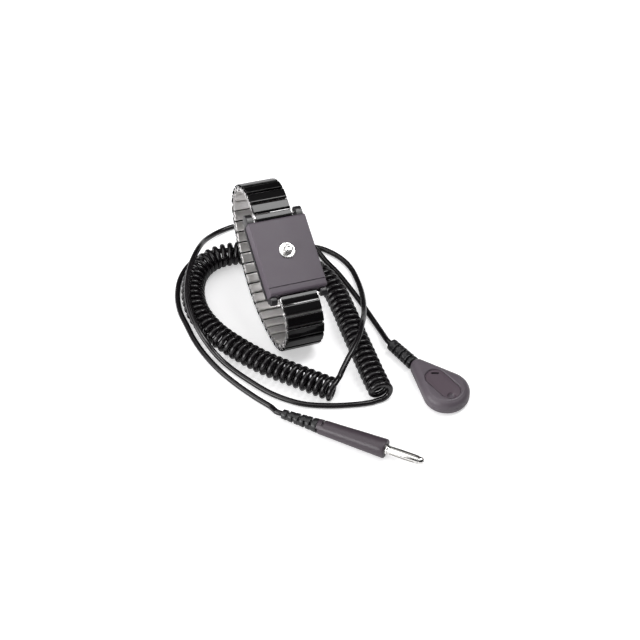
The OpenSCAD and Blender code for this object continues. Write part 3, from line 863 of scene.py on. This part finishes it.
@dataclass
class Housing:
    """Box on the band: cover, tray with lugs, stud, end plates and spring bars."""

    ring: BandRing = field(default_factory=BandRing)
    width: float = 27.0
    top_y: float = 15.7
    low_y: float = -18.9
    base_z: float = 9.4
    cover_z: float = 10.6
    face_z: float = 16.5
    bar_z: float = 12.4
    bar_top: float = 18.3
    bar_low: float = -20.6
    lug_in: float = 10.3
    lug_out: float = 13.4
    wall: float = 1.2
    rim: float = 0.45
    tip_r: float = 0.45
    tip_end: float = 11.6
    bar_hole: float = 0.8

    def build(self) -> None:
        """Makes the housing's pieces and dresses the CAD solids that stay."""
        body = Body.HOUSING.value
        set_down(self.cover(), STRAP, body, FACE_PLASTIC, Slot.HOUSING, ["housing_cover"])
        set_down(self.tray(), STRAP, body, TRAY_PLASTIC, Slot.PLASTIC, ["housing_base"])
        set_down(self.stud(), STRAP, body, STUD_NICKEL, Slot.NICKEL, ["snap_stud"])
        first, last = self.ring.link_s(1), self.ring.link_s(self.ring.links)
        for name, near, far in (
            ("top", self.top_y + 0.5, 19.75), ("bottom", -23.25, self.low_y - 0.25),
        ):
            bar_y = self.bar_top if name == "top" else self.bar_low
            plate = self.end_plate(f"end_plate_{name}", bar_y, near, far)
            set_down(plate, STRAP, body, BAND_ENAMEL, Slot.BAND, [f"end_link_{name}"])
        for name, bar_y, s, u in (
            ("top", self.bar_top, first, -1.5), ("bottom", self.bar_low, last, 1.5),
        ):
            cheeks = self.end_cheeks(f"end_cheeks_{name}", bar_y, s, u)
            set_down(cheeks, STRAP, body, WIRE_STEEL, Slot.SPRING, [f"end_link_{name}"])
        for name in ("spring_bar_top", "spring_bar_bottom", "contact_strip"):
            dress_node(name, BAND_STEEL)
        for name in ("contact_plate", "stud_washer"):
            dress_node(name, NICKEL)

    def cover(self) -> Obj:
        """Hollow cover with a line scored near its lower end and a hole for the stud."""
        half = self.width / 2
        outline = [
            (self.top_y, self.cover_z),
            *arc((self.top_y - 1.0, self.face_z - 1.0), 1.0, 0, 90, 8),
            *arc((self.low_y + 1.1, self.face_z - 1.1), 1.1, 90, 180, 8),
            (self.low_y, self.cover_z),
        ]
        piece = Bench.drawn_up("face_cover", outline, -half, half)
        piece.data.transform(ALONG_X)
        Bench.bevelled(piece, 0.42, 4, 50)
        with Bench.editing(piece):
            Bench.pick(piece, lambda c, n: n.z < -0.9 and c.z < self.cover_z + 0.1)
            bpy.ops.mesh.inset(thickness=self.wall)
            rise = self.face_z - self.cover_z - self.wall
            bpy.ops.mesh.extrude_region_move(TRANSFORM_OT_translate={"value": (0, 0, rise)})
        Bench.face_outwards(piece)
        score = [(-16.05, 17.2), (-15.85, 16.4), (-15.78, 16.0), (-15.42, 16.0), (-15.35, 16.4)]
        score.append((-15.15, 17.2))
        line = Bench.drawn_up("score_line", score, -half - 1, half + 1)
        line.data.transform(ALONG_X)
        Bench.cut(piece, line)
        Bench.cut(piece, Bench.turned("stud_hole", [(1.3, 12), (1.3, 20)], 32))
        return Bench.smoothed(piece)

    def bar_bore(self, name: str, radius: float, bar_y: float, low: float, high: float) -> Obj:
        """Cutter along a spring bar's axis, from low to high in X."""
        bore = Bench.turned(name, [(radius, low), (radius, high)], 24)
        bore.data.transform(Matrix.Translation((0, bar_y, self.bar_z)) @ ALONG_X)
        return bore

    def lug(self, bar_y: float, wall_y: float, radius: float, mirrored: bool) -> Obj:
        """Rounded lug that holds one tip of a spring bar."""
        away = 1 if bar_y > wall_y else -1
        tip = arc((0.0, 0.0), radius, -90, 90, 14)
        outline = [
            (wall_y, self.base_z),
            (bar_y, self.base_z),
            *[(bar_y + away * y, self.bar_z + z) for y, z in tip],
            (wall_y, self.bar_z + radius),
        ]
        low, high = (-self.lug_out, -self.lug_in) if mirrored else (self.lug_in, self.lug_out)
        piece = Bench.drawn_up("lug", outline, low, high)
        piece.data.transform(ALONG_X)
        Bench.bevelled(piece, 0.45, 4, 45)
        bore = self.bar_bore("bar_hole", self.tip_r, bar_y, self.lug_in - 1, self.tip_end)
        if mirrored:
            bore.data.transform(Matrix.Rotation(math.pi, 4, (0, 0, 1)))
            bore.data.transform(Matrix.Translation((0, 2 * bar_y, 0)))
        Bench.cut(piece, bore)
        return piece

    def tray(self) -> Obj:
        """Floor of the housing with four lugs."""
        middle = (self.top_y + self.low_y) / 2
        length = self.top_y - self.low_y + 2 * self.rim
        outline = shifted(soft_rectangle(self.width + 2 * self.rim, length, 1.1), 0, middle)
        floor = Bench.drawn_up("tray_floor", outline, self.base_z, self.cover_z)
        Bench.bevelled(floor, 0.2, 2, 60)
        lugs = []
        for mirrored in (False, True):
            lugs.append(self.lug(self.bar_top, self.top_y + 0.06, 2.5, mirrored))
            lugs.append(self.lug(self.bar_low, self.low_y - 0.06, 1.8, mirrored))
        piece = Bench.joined("housing_tray", [floor, *lugs])
        return Bench.smoothed(piece)

    def stud(self) -> Obj:
        """Snap stud: riveted stem, rolled flange and knob with a shallow dimple."""
        z = self.face_z
        profile = [
            (0.9, z - 2.3), (1.85, z - 2.3), (1.9, z - 2.2), (1.9, z - 1.85), (1.8, z - 1.8),
            (1.2, z - 1.8), (1.2, z + 0.02), (3.55, z + 0.02), (3.7, z + 0.08), (3.75, z + 0.2),
            (3.72, z + 0.33), (3.6, z + 0.43), (3.4, z + 0.48), (2.9, z + 0.46), (2.3, z + 0.42),
            (1.95, z + 0.46), (1.78, z + 0.6), (1.74, z + 0.9), (1.74, z + 1.25),
            (1.82, z + 1.42), (1.95, z + 1.55), (2.0, z + 1.75), (2.0, z + 2.5), (1.95, z + 2.8),
            (1.8, z + 3.05), (1.55, z + 3.22), (1.25, z + 3.3), (0.95, z + 3.3), (0.75, z + 3.24),
            (0.5, z + 3.17), (0.1, z + 3.14),
        ]
        piece = Bench.turned("snap_stud_shell", profile, 72)
        return Bench.smoothed(piece)

    def end_plate(self, name: str, bar_y: float, near: float, far: float) -> Obj:
        """Folded plate with a loop round a spring bar."""
        front, top, r = self.bar_z + 0.05, self.bar_z + 1.6, 0.4
        loop = arc((bar_y, self.bar_z), 1.5, 0, -180, 12)
        outline = [
            (near, front),
            *arc((near + r, top - r), r, 180, 90, 4),
            *arc((far - r, top - r), r, 90, 0, 4),
            (far, front),
            *loop,
        ]
        piece = Bench.drawn_up(name, outline, -8.6, 8.6)
        piece.data.transform(ALONG_X)
        Bench.bevelled(piece, 0.06, 1, 60)
        Bench.cut(piece, self.bar_bore("loop_bore", self.bar_hole, bar_y, -10, 10))
        return Bench.smoothed(piece)

    def end_cheeks(self, name: str, bar_y: float, s_leg: float, u_leg: float) -> Obj:
        """Side plates from the spring bar to the legs in the nearest outer sleeve."""
        leg = self.ring.axes(s_leg) @ Vector((0, u_leg, 0.625))
        arm = wrapped([(bar_y, self.bar_z, 1.3), (leg.y, leg.z, 0.34)], 40)
        foot = shifted(soft_rectangle(0.7, 0.5, 0.1, 2), leg.y, leg.z)
        parts = []
        for low, high, outline in (
            (8.5, 8.98, arm), (-8.98, -8.5, arm), (5.8, 8.9, foot), (-8.9, -5.8, foot),
        ):
            part = Bench.drawn_up("cheek", outline, low, high)
            part.data.transform(ALONG_X)
            Bench.bevelled(part, 0.06, 1, 60)
            parts.append(part)
        piece = Bench.joined(name, parts)
        Bench.cut(piece, self.bar_bore("cheek_bore", self.bar_hole, bar_y, -10, 10))
        return Bench.smoothed(piece)


# ---------------------------------------------------------------- the cord's ends


def strain_relief(
    name: str, length: float, small: float, big: float, core: float, ribs: int, turn: float
) -> Obj:
    """Sleeve of rings on a core, with bridges that leave a slot on alternate sides.

    Args:
        name: The piece's name.
        length: Its length along Z from the small end.
        small: Radius at the small end.
        big: Radius at the big end.
        core: Radius of the core between the rings.
        ribs: How many rings it has.
        turn: Degrees about Z of the first bridge.

    Returns:
        The piece.
    """
    step, parts = length / ribs, []
    parts.append(Bench.turned("core", [(core, 0.3), (core, length - 0.3)], 40))
    for k in range(ribs):
        low, high = k * step + step * 0.19 * (k > 0), (k + 1) * step - step * 0.19 * (k < ribs - 1)
        r0, r1 = small + (big - small) * low / length, small + (big - small) * high / length
        soft = 0.16
        profile = [
            (r0 - soft, low), (r0 - soft * 0.3, low + soft * 0.3), (r0, low + soft),
            (r1, high - soft), (r1 - soft * 0.3, high - soft * 0.3), (r1 - soft, high),
        ]
        parts.append(Bench.turned("ring", profile, 48))
        if k == ribs - 1:
            continue
        radius = r1 - 0.12
        spread = arc((0.0, 0.0), radius, -78, 78, 14)
        inner = arc((0.0, 0.0), core - 0.2, 70, -70, 8)
        bridge = Bench.drawn_up("bridge", [*spread, *inner], high - 0.15, high + step * 0.38 + 0.15)
        angle = turn + 180 * (k % 2)
        bridge.data.transform(Matrix.Rotation(math.radians(angle), 4, "Z"))
        parts.append(bridge)
    piece = Bench.joined(name, parts)
    return Bench.smoothed(piece)


@dataclass
class SnapConnector:
    """Connector that presses onto the stud: two shells, a pad, a socket and its relief."""

    circles: tuple[tuple[float, float, float], ...] = ((0.0, 0.2, 10.3), (0.0, 18.6, 3.4))
    socket_y: float = -1.8
    split: float = 3.8
    height: float = 7.6
    recess: float = 0.9
    foot: float = 2.6
    brow: float = 3.2
    shell: float = 1.4
    relief_y: float = 36.5
    relief_z: float = 3.3
    relief_length: float = 14.4

    def build(self) -> list[Obj]:
        """Makes the connector's pieces.

        Returns:
            The pieces and CAD solids that are on the cord.
        """
        body = Body.CORD.value
        made = [
            set_down(self.lower(), SNAP, body, SHELL_RUBBER, Slot.SHELL, ["snap_lower_shell"]),
            set_down(self.upper(), SNAP, body, SHELL_RUBBER, Slot.SHELL, ["snap_upper_shell"]),
            set_down(self.pad(), SNAP, body, PAD_RUBBER, Slot.RUBBER, ["snap_pad"]),
            set_down(self.relief(), SNAP, body, RELIEF_RUBBER, Slot.RUBBER, ["snap_relief"]),
        ]
        dress_node("snap_socket", NICKEL)
        dress_node("socket_spring", WIRE_STEEL)
        dress_node("resistor", RESISTOR_LACQUER)
        return made + [frame["nodes"][n] for n in ("snap_socket", "socket_spring", "resistor")]

    def outline(self, inset: float) -> list[Point2]:
        """Outline of the connector, drawn in by an even amount."""
        return wrapped([(x, y, r - inset) for x, y, r in self.circles], 120)

    def lower(self) -> Obj:
        """Lower shell, hollow, with a rounded foot and a hole for the socket."""
        foot = self.foot
        piece = Bench.drawn_up("connector_lower_shell", self.outline(0), foot, self.split - 0.12)
        Bench.round_end(piece, foot, foot, -1, 8)
        with Bench.editing(piece):
            Bench.pick(piece, lambda c, n: n.z > 0.9)
            bpy.ops.mesh.inset(thickness=0.12, depth=0.1)
            bpy.ops.mesh.inset(thickness=self.shell - 0.12)
            bpy.ops.mesh.inset(thickness=0.6, depth=1.6 - self.split)
        hole = Bench.turned("socket_hole", [(3.3, -1), (3.3, 3)], 48)
        hole.data.transform(Matrix.Translation((0, self.socket_y, 0)))
        Bench.cut(piece, hole)
        Bench.cut(piece, self.cord_hole())
        return Bench.smoothed(piece)

    def upper(self) -> Obj:
        """Upper shell, hollow, with a soft brow and the recess for the pad."""
        brow, start = self.brow, self.height - self.brow - 0.1
        piece = Bench.drawn_up("connector_upper_shell", self.outline(0), self.split + 0.1, start)
        Bench.round_end(piece, start, brow, 1, 10)
        with Bench.editing(piece):
            Bench.pick(piece, lambda c, n: n.z > 0.95 and c.z > self.height - 1)
            bpy.ops.mesh.inset(thickness=0.15, depth=0.1)
            Bench.pick(piece, lambda c, n: n.z < -0.9)
            bpy.ops.mesh.inset(thickness=0.12, depth=0.1)
            bpy.ops.mesh.inset(thickness=self.shell - 0.12)
            bpy.ops.mesh.extrude_region_move(TRANSFORM_OT_translate={"value": (0, 0, 0.8)})
        Bench.face_outwards(piece)
        low = self.height - self.recess
        well = Bench.drawn_up(
            "pad_well", shifted(soft_rectangle(9.4, 18.8, 4.65, 12), 0, 2.6), low, low + 0.55
        )
        with Bench.editing(well):
            Bench.pick(well, lambda c, n: n.z > 0.9)
            bpy.ops.mesh.extrude_region_move(TRANSFORM_OT_translate={"value": (0, 0, 0.6)})
            bpy.ops.transform.resize(value=(1.14, 1.07, 1), center_override=(0, 2.6, 0))
        Bench.cut(piece, well)
        for cutter in self.pad_holes():
            Bench.cut(piece, cutter)
        Bench.cut(piece, self.cord_hole())
        return Bench.smoothed(piece)

    def pad_holes(self) -> list[Obj]:
        """Cutters for the slot and the dimple, which go through the pad into the shell."""
        low = self.height - self.recess
        slot = Bench.drawn_up("pad_slot", soft_rectangle(3.6, 1.15, 0.55, 5), low - 1.0, low + 1)
        turn = Matrix.Rotation(math.radians(-39), 4, "Z")
        slot.data.transform(Matrix.Translation((1.5, 9.3, 0)) @ turn)
        dimple = Bench.turned("pad_dimple", [(0.9, low - 0.5), (1.5, low + 0.1), (2.4, low + 0.9)], 32)
        dimple.data.transform(Matrix.Translation((-1.5, -4.6, 0)))
        return [slot, dimple]

    def cord_hole(self) -> Obj:
        """Cutter for the hole that the relief's tail goes through."""
        hole = Bench.turned("relief_hole", [(1.6, 0), (1.6, 12)], 32)
        axis = Matrix.Translation((0, 30, self.relief_z)) @ Matrix.Rotation(math.pi / 2, 4, "X")
        hole.data.transform(axis)
        return hole

    def pad(self) -> Obj:
        """Soft pad in the recess, with a slot at its neck end and a dimple at the other."""
        outline = shifted(soft_rectangle(9.2, 18.6, 4.55, 12), 0, 2.6)
        low = self.height - self.recess
        piece = Bench.drawn_up("connector_pad", outline, low + 0.02, low + 0.15)
        Bench.round_end(piece, low + 0.15, 0.3, 1, 4)
        for cutter in self.pad_holes():
            Bench.cut(piece, cutter)
        return Bench.smoothed(piece)

    def relief(self) -> Obj:
        """Ribbed relief between the neck and the cord."""
        piece = strain_relief("connector_relief", self.relief_length, 2.8, 3.1, 1.9, 7, 90)
        tail = Bench.turned("tail", [(1.5, 13.5), (1.5, 17)], 32)
        piece = Bench.joined("connector_relief", [piece, tail])
        axis = Matrix.Rotation(math.pi / 2, 4, "X")
        piece.data.transform(Matrix.Translation((0, self.relief_y, self.relief_z)) @ axis)
        return piece


@dataclass
class BananaPlug:
    """Plug at the other end: handle, relief, pin with spring leaves and crimp."""

    handle_length: float = 31.8
    handle_r: float = 4.25
    pin_length: float = 17.2
    pin_r: float = 2.0
    relief_length: float = 16.8

    def build(self) -> list[Obj]:
        """Makes the plug's pieces.

        Returns:
            The pieces and CAD solids that are on the cord.
        """
        body = Body.CORD.value
        made = [
            set_down(self.handle(), PLUG, body, HANDLE_PLASTIC, Slot.PLASTIC, ["plug_handle"]),
            set_down(self.relief(), PLUG, body, RELIEF_RUBBER, Slot.RUBBER, ["plug_relief"]),
            set_down(self.pin(), PLUG, body, NICKEL, Slot.NICKEL, ["banana_pin"]),
            set_down(self.leaves(), PLUG, body, NICKEL, Slot.NICKEL, ["banana_spring"]),
        ]
        dress_node("crimp_sleeve", BRASS)
        return [*made, frame["nodes"]["crimp_sleeve"]]

    def handle(self) -> Obj:
        """Tapered handle, hollow behind its front wall."""
        back, front, end = self.handle_r - 1, self.handle_r, self.handle_length
        profile = [
            (1.6, 0.0), (back - 0.35, 0.0), (back - 0.1, 0.1), (back, 0.35),
            (back + 0.18, 4.0), (back + 0.33, 10.0), (back + 0.62, 18.0), (front - 0.08, end - 3.0),
            (front, end - 0.6), (front - 0.08, end - 0.3), (front - 0.3, end - 0.08),
            (front - 0.55, end), (1.75, end), (1.65, end - 0.1), (1.65, end - 7), (0.1, end - 7),
        ]
        piece = Bench.turned("plug_handle_shell", profile, 72)
        bore = Bench.turned("handle_bore", [(1.55, -1), (1.55, 4), (2.6, 4), (2.6, end - 7.2)], 40)
        Bench.cut(piece, bore)
        for side, low in ((-45, 0.1), (135, 2.1)):
            outer = arc((0.0, 0.0), 5.0, side - 78, side + 78, 14)
            inner = arc((0.0, 0.0), 2.3, side + 70, side - 70, 10)
            Bench.cut(piece, Bench.drawn_up("handle_slot", [*outer, *inner], low, low + 0.95))
        return Bench.smoothed(piece)

    def relief(self) -> Obj:
        """Slotted relief behind the handle."""
        length = self.relief_length - 0.05
        piece = strain_relief("plug_relief_sleeve", length, 2.1, self.handle_r - 1.1, 1.5, 6, -45)
        piece.data.transform(Matrix.Translation((0, 0, -self.relief_length)))
        tail = Bench.turned("plug_tail", [(1.5, -1), (1.5, 4)], 32)
        return Bench.joined("plug_relief_sleeve", [piece, tail])

    def pin(self) -> Obj:
        """Core of the pin with its collar and rounded tip."""
        base, end = self.handle_length, self.handle_length + self.pin_length
        profile = [
            (1.55, base - 6.9), (1.6, base - 6.8), (1.6, base + 0.05), (2.3, base + 0.05),
            (2.4, base + 0.15), (2.4, base + 0.85), (2.3, base + 0.95), (1.4, base + 0.95),
            (1.4, end - 2.35), (1.6, end - 2.3), (1.7, end - 2.2), (1.7, end - 1.35),
            (1.62, end - 1.0), (1.4, end - 0.5), (1.1, end - 0.12), (0.9, end),
            (0.5, end), (0.42, end - 0.3), (0.1, end - 0.35),
        ]
        piece = Bench.turned("pin_core", profile, 48)
        return Bench.smoothed(piece)

    def leaves(self) -> Obj:
        """Four bulging leaves between two rings, cut from one sleeve."""
        low = self.handle_length + 1.0
        length = self.pin_length - 3.4
        rows = 14
        profile = []
        for k in range(rows + 1):
            t = k / rows
            profile.append((1.86 + (self.pin_r - 1.86) * math.sin(math.pi * t), low + length * t))
        sides = 48
        piece = Bench.turned("pin_leaves", profile, sides)
        inside = [(1.46, low - 1), (1.46, low + length + 1)]
        Bench.cut(piece, Bench.turned("leaf_bore", inside, sides))
        for angle in (0, 90):
            slot = Bench.drawn_up(
                "leaf_slot", soft_rectangle(6, 0.5, 0.2, 3), low + 1.2, low + length - 1.4
            )
            slot.data.transform(Matrix.Rotation(math.radians(angle), 4, "Z"))
            Bench.cut(piece, slot)
        return Bench.smoothed(piece)


# ---------------------------------------------------------------- the cord


@dataclass
class CoiledCord:
    """The whole cord: a lead from the snap connector, the coil, and a lead to the plug."""

    diameter: float = 2.5
    coil_outer: float = 11.0
    turns: float = 75.5
    per_turn: int = 20
    axis: tuple[Point2, ...] = (
        (0, -61.5), (-11.5, -48), (-21.5, -36), (-30, -22.5), (-36.2, -9), (-38.6, 5),
        (-36.2, 18), (-29.8, 28.2), (-20, 33.4), (-8.2, 32.2), (3, 25.4), (13.3, 16.8),
        (20.6, 6.6), (23.2, -5.5), (22.6, -18.5), (21.2, -33), (20, -47), (18.9, -60),
        (18.3, -71),
    )
    snap_lead: tuple[Point3, ...] = (
        (6, -69, 1.25), (-5, -65, 1.25), (-15.5, -59, 1.25), (-24.5, -49.5, 1.25),
        (-31, -38.5, 1.25), (-36, -28, 1.25), (-39.6, -20.6, 3.6), (-42.2, -14, 7.4),
        (-43.3, -7.5, 9.7), (-43.4, -0.5, 11), (-42.4, 7, 11.8), (-40.2, 14, 12.4),
        (-37.3, 20.5, 12.8), (-33.9, 26.5, 12.9), (-29.8, 32.2, 12.7), (-25.5, 38, 10.9),
        (-20.9, 44.2, 7.3), (-15.7, 49, 4.2), (-9.6, 52.6, 1.8), (-2, 53.5, 1.25),
        (7, 51, 1.25), (14.5, 45.8, 1.25), (20.3, 38.5, 2.6), (24, 30.5, 4.4),
        (26.8, 22.5, 3), (28.8, 15, 1.25), (30.8, 6, 1.25), (32.2, -5, 1.25),
        (33.2, -16, 1.25), (33.9, -27, 1.25), (34.2, -35.5, 1.7),
    )
    plug_lead: tuple[Point3, ...] = (
        (6, -56.2, 10.7), (10.2, -52.4, 12.1), (14.2, -48.8, 12.8), (18, -44.9, 12.95),
        (21.4, -40.6, 12.95), (24.3, -35.9, 12), (27.5, -30.4, 9.2), (30.6, -24, 6.4),
        (33.4, -16.8, 4.7), (35.7, -9.5, 2.8), (37.2, -1.8, 1.5), (37.7, 6, 1.25),
        (36.4, 13, 1.25), (33.4, 19.3, 1.25), (28.8, 24.8, 1.25), (21.8, 28.6, 1.25),
        (12, 30.3, 1.25), (3, 34, 1.25), (-7, 38.6, 1.25), (-18, 41.3, 1.25),
        (-28.5, 39.4, 1.25), (-37, 32.3, 1.25), (-42.3, 22.5, 1.25), (-44.8, 12.5, 1.25),
        (-45, 3, 1.25), (-44.9, -7, 1.25), (-43.6, -17, 1.25), (-41, -27.5, 1.25),
        (-37, -38, 1.25), (-32.2, -48, 1.25), (-28, -56, 1.6),
    )

    def build(self) -> Obj:
        """Makes the cord as one curve.

        Returns:
            The cord.
        """
        points = self.route()
        curve = bpy.data.curves.new("coiled_cord", "CURVE")
        curve.dimensions = "3D"
        curve.bevel_depth = self.diameter / 2 * MM
        curve.bevel_resolution = 4
        curve.use_fill_caps = True
        spline = curve.splines.new("POLY")
        spline.points.add(len(points) - 1)
        for knot, point in zip(spline.points, points, strict=True):
            knot.co = (*(point * MM), 1.0)
        spline.use_smooth = True
        cord = bpy.data.objects.new("coiled_cord", curve)
        bpy.context.scene.collection.objects.link(cord)
        curve.materials.append(CORD_JACKET.material())
        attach(cord, Body.CORD.value)
        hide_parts("coil_cord", "lead_snap", "lead_plug")
        self.length = sum((b - a).length for a, b in zip(points, points[1:])) * MM
        self.start = points[0] * MM
        log.info("%s: %d points, %.3f m", cord.name, len(points), self.length)
        return cord

    def declare(self) -> None:
        tuple(self.start)

    @staticmethod
    def smooth(points: Sequence[Vector], spans: int) -> list[Vector]:
        """A smooth curve through the points."""
        ends = [2 * points[0] - points[1], *points, 2 * points[-1] - points[-2]]
        made = []
        for i in range(1, len(points)):
            a, b, c, d = ends[i - 1 : i + 3]
            for k in range(spans):
                t = k / spans
                made.append(
                    0.5
                    * (
                        2 * b
                        + (c - a) * t
                        + (2 * a - 5 * b + 4 * c - d) * t * t
                        + (3 * b - a - 3 * c + d) * t**3
                    )
                )
        return [*made, points[-1].copy()]

    @staticmethod
    def at(lengths: Sequence[float], points: Sequence[Vector], s: float) -> Vector:
        """The point at length s along the points."""
        s = min(max(s, 0.0), lengths[-1])
        low, high = 0, len(lengths) - 1
        while high - low > 1:
            middle = (low + high) // 2
            if lengths[middle] <= s:
                low = middle
            else:
                high = middle
        share = (s - lengths[low]) / (lengths[high] - lengths[low])
        return points[low].lerp(points[high], share)

    def route(self) -> list[Vector]:
        """The cord's centreline from inside one relief to inside the other."""
        path = self.smooth([Vector((x, y, self.coil_outer / 2)) for x, y in self.axis], 10)
        lengths = [0.0]
        for a, b in zip(path, path[1:]):
            lengths.append(lengths[-1] + (b - a).length)
        whole = lengths[-1]
        radius = (self.coil_outer - self.diameter) / 2

        def across(s: float) -> Vector:
            """The direction to the left of the coil's axis."""
            ahead = self.at(lengths, path, s + 1) - self.at(lengths, path, s - 1)
            return Vector((-ahead.y, ahead.x, 0)).normalized()

        def turn(s: float) -> Vector:
            """A point on the coil."""
            a = math.radians(90 - 360 * self.turns * s / whole)
            out = math.cos(a) * across(s) + Vector((0, 0, math.sin(a)))
            return self.at(lengths, path, s) + radius * out

        count = round(self.turns * self.per_turn)
        coil = [turn(whole * k / count) for k in range(count + 1)]
        start = coil[0] - self.diameter * across(0)
        end = coil[-1] - self.diameter * across(whole)
        snap_end, plug_end = SnapConnector(), BananaPlug()
        neck = [SNAP @ Vector((0, snap_end.relief_y + x, snap_end.relief_z)) for x in (3, 0, -2)]
        tail = [PLUG @ Vector((0, 0, x - plug_end.relief_length)) for x in (-3, 0, 2)]
        snap_side = [
            end, end - 3 * across(whole), *[Vector(p) for p in self.snap_lead], *neck,
        ]
        plug_side = [
            start, start - 2.5 * across(0), *[Vector(p) for p in self.plug_lead], *tail,
        ]
        to_snap = self.smooth(snap_side, 8)
        to_plug = self.smooth(plug_side, 8)
        return [*reversed(to_snap), *reversed(coil), *to_plug]


# ---------------------------------------------------------------- the studio


@dataclass
class Studio:
    """Camera, floor, lamps and surroundings."""

    camera_at: Point3 = (-199.08, -514.27, 600.46)
    target: Point3 = (12.17, -16.59, 0.0)
    lens: float = 100.0
    floor_half: float = 2.5
    floor_lift: float = 0.5
    floor_far_lift: float = 1.2
    floor_rise: Point2 = (0.35, 1.2)
    floor_mirrored: float = 0.15
    key_at: Point3 = (0.55, -0.025, 1.0)
    key_size: tuple[float, float] = (0.8, 0.28)
    key_radiance: float = 10.0
    fill_at: Point3 = (-0.6, 0.15, 1.0)
    fill_size: tuple[float, float] = (1.1, 1.3)
    fill_radiance: float = 1.3
    card_at: Point3 = (-0.6, -0.1, 0.22)
    card_way: Point3 = (1.0, 0.15, -0.3)
    card_size: tuple[float, float] = (0.6, 0.3)
    card_radiance: float = 6.0
    room_dark: float = 0.06
    room_light: float = 0.3
    room_rise: Point2 = (0.72, 0.95)

    def build(self) -> None:
        """Sets everything that isn't the object."""
        self.camera()
        self.floor()
        down = (0.0, 0.0, -1.0)
        self.lamp("softbox", self.key_at, down, self.key_size, self.key_radiance)
        self.lamp("overhead_fill", self.fill_at, down, self.fill_size, self.fill_radiance)
        self.lamp("left_card", self.card_at, self.card_way, self.card_size, self.card_radiance)
        self.room()
        bpy.context.scene.view_settings.view_transform = "Standard"

    def camera(self) -> None:
        """The camera, which looks down at the object from the front left."""
        data = bpy.data.cameras.new("camera")
        data.lens = self.lens
        data.sensor_width = 36.0
        data.clip_start = 0.01
        camera = bpy.data.objects.new("camera", data)
        place, aim = Vector(self.camera_at) * MM, Vector(self.target) * MM
        camera.location = place
        camera.rotation_euler = (aim - place).to_track_quat("-Z", "Y").to_euler()
        bpy.context.scene.collection.objects.link(camera)
        bpy.context.scene.camera = camera

    def floor(self) -> None:
        """Pale floor that keeps the shadows near the object and shows white further out."""
        Bench.clear()
        bpy.ops.mesh.primitive_plane_add(size=2 * self.floor_half)
        floor = bpy.context.object
        floor.name = "studio_floor"
        material = bpy.data.materials.new("studio_floor_paper")
        tree = ShaderTree(material)
        rays = tree.node("ShaderNodeLightPath").outputs
        place = tree.node("ShaderNodeTexCoord").outputs["Object"]
        away = tree.node("ShaderNodeVectorMath", {"operation": "LENGTH"}, {0: place})
        levels = (self.floor_lift, self.floor_far_lift)
        rise = tree.ramp(away.outputs["Value"], self.floor_rise, levels)
        straight = Value(tree, rays["Is Camera Ray"]) * rise
        mirrored = Value(tree, rays["Is Glossy Ray"]) * self.floor_mirrored
        paper = tree.node("ShaderNodeBsdfDiffuse", None, {"Color": (0.88, 0.875, 0.885, 1)})
        glow = tree.node(
            "ShaderNodeEmission", None, {"Color": (1, 1, 1, 1), "Strength": straight + mirrored}
        )
        both = tree.node("ShaderNodeAddShader", None, {0: paper.outputs[0], 1: glow.outputs[0]})
        tree.finish(both.outputs[0])
        floor.data.materials.append(material)

    def lamp(
        self, name: str, place: Point3, way: Point3, size: tuple[float, float], radiance: float
    ) -> None:
        """A flat lamp of size metres that faces along way."""
        data = bpy.data.lights.new(name, "AREA")
        data.shape = "RECTANGLE"
        data.size, data.size_y = size
        data.energy = radiance * math.pi * size[0] * size[1]
        lamp = bpy.data.objects.new(name, data)
        lamp.location = place
        lamp.rotation_euler = Vector(way).to_track_quat("-Z", "Y").to_euler()
        bpy.context.scene.collection.objects.link(lamp)

    def room(self) -> None:
        """Surroundings: dim walls, a lighter ceiling, and white behind everything."""
        world = bpy.data.worlds.new("studio_room")
        tree = ShaderTree(world)
        seen = Value(tree, tree.node("ShaderNodeLightPath").outputs["Is Camera Ray"])
        way = tree.node("ShaderNodeTexCoord").outputs["Generated"]
        height = tree.node("ShaderNodeSeparateXYZ", None, {0: way}).outputs["Z"]
        rise = tree.ramp(height, self.room_rise, (self.room_dark, self.room_light))
        level = rise * (1 - seen) + seen
        sky = tree.node("ShaderNodeBackground", None, {"Color": (1, 1, 1, 1), "Strength": level})
        tree.finish(sky.outputs[0], "ShaderNodeOutputWorld")
        bpy.context.scene.world = world


def main() -> None:
    """Builds the camera and the cord first, then every sub-assembly, and reports them."""
    Studio().build()
    cord = CoiledCord()
    curve = cord.build()
    ExpansionBand().build()
    Housing().build()
    ends = SnapConnector().build() + BananaPlug().build()
    cord.declare()
    Bench.clear()


if __name__ == "__main__":
    main()
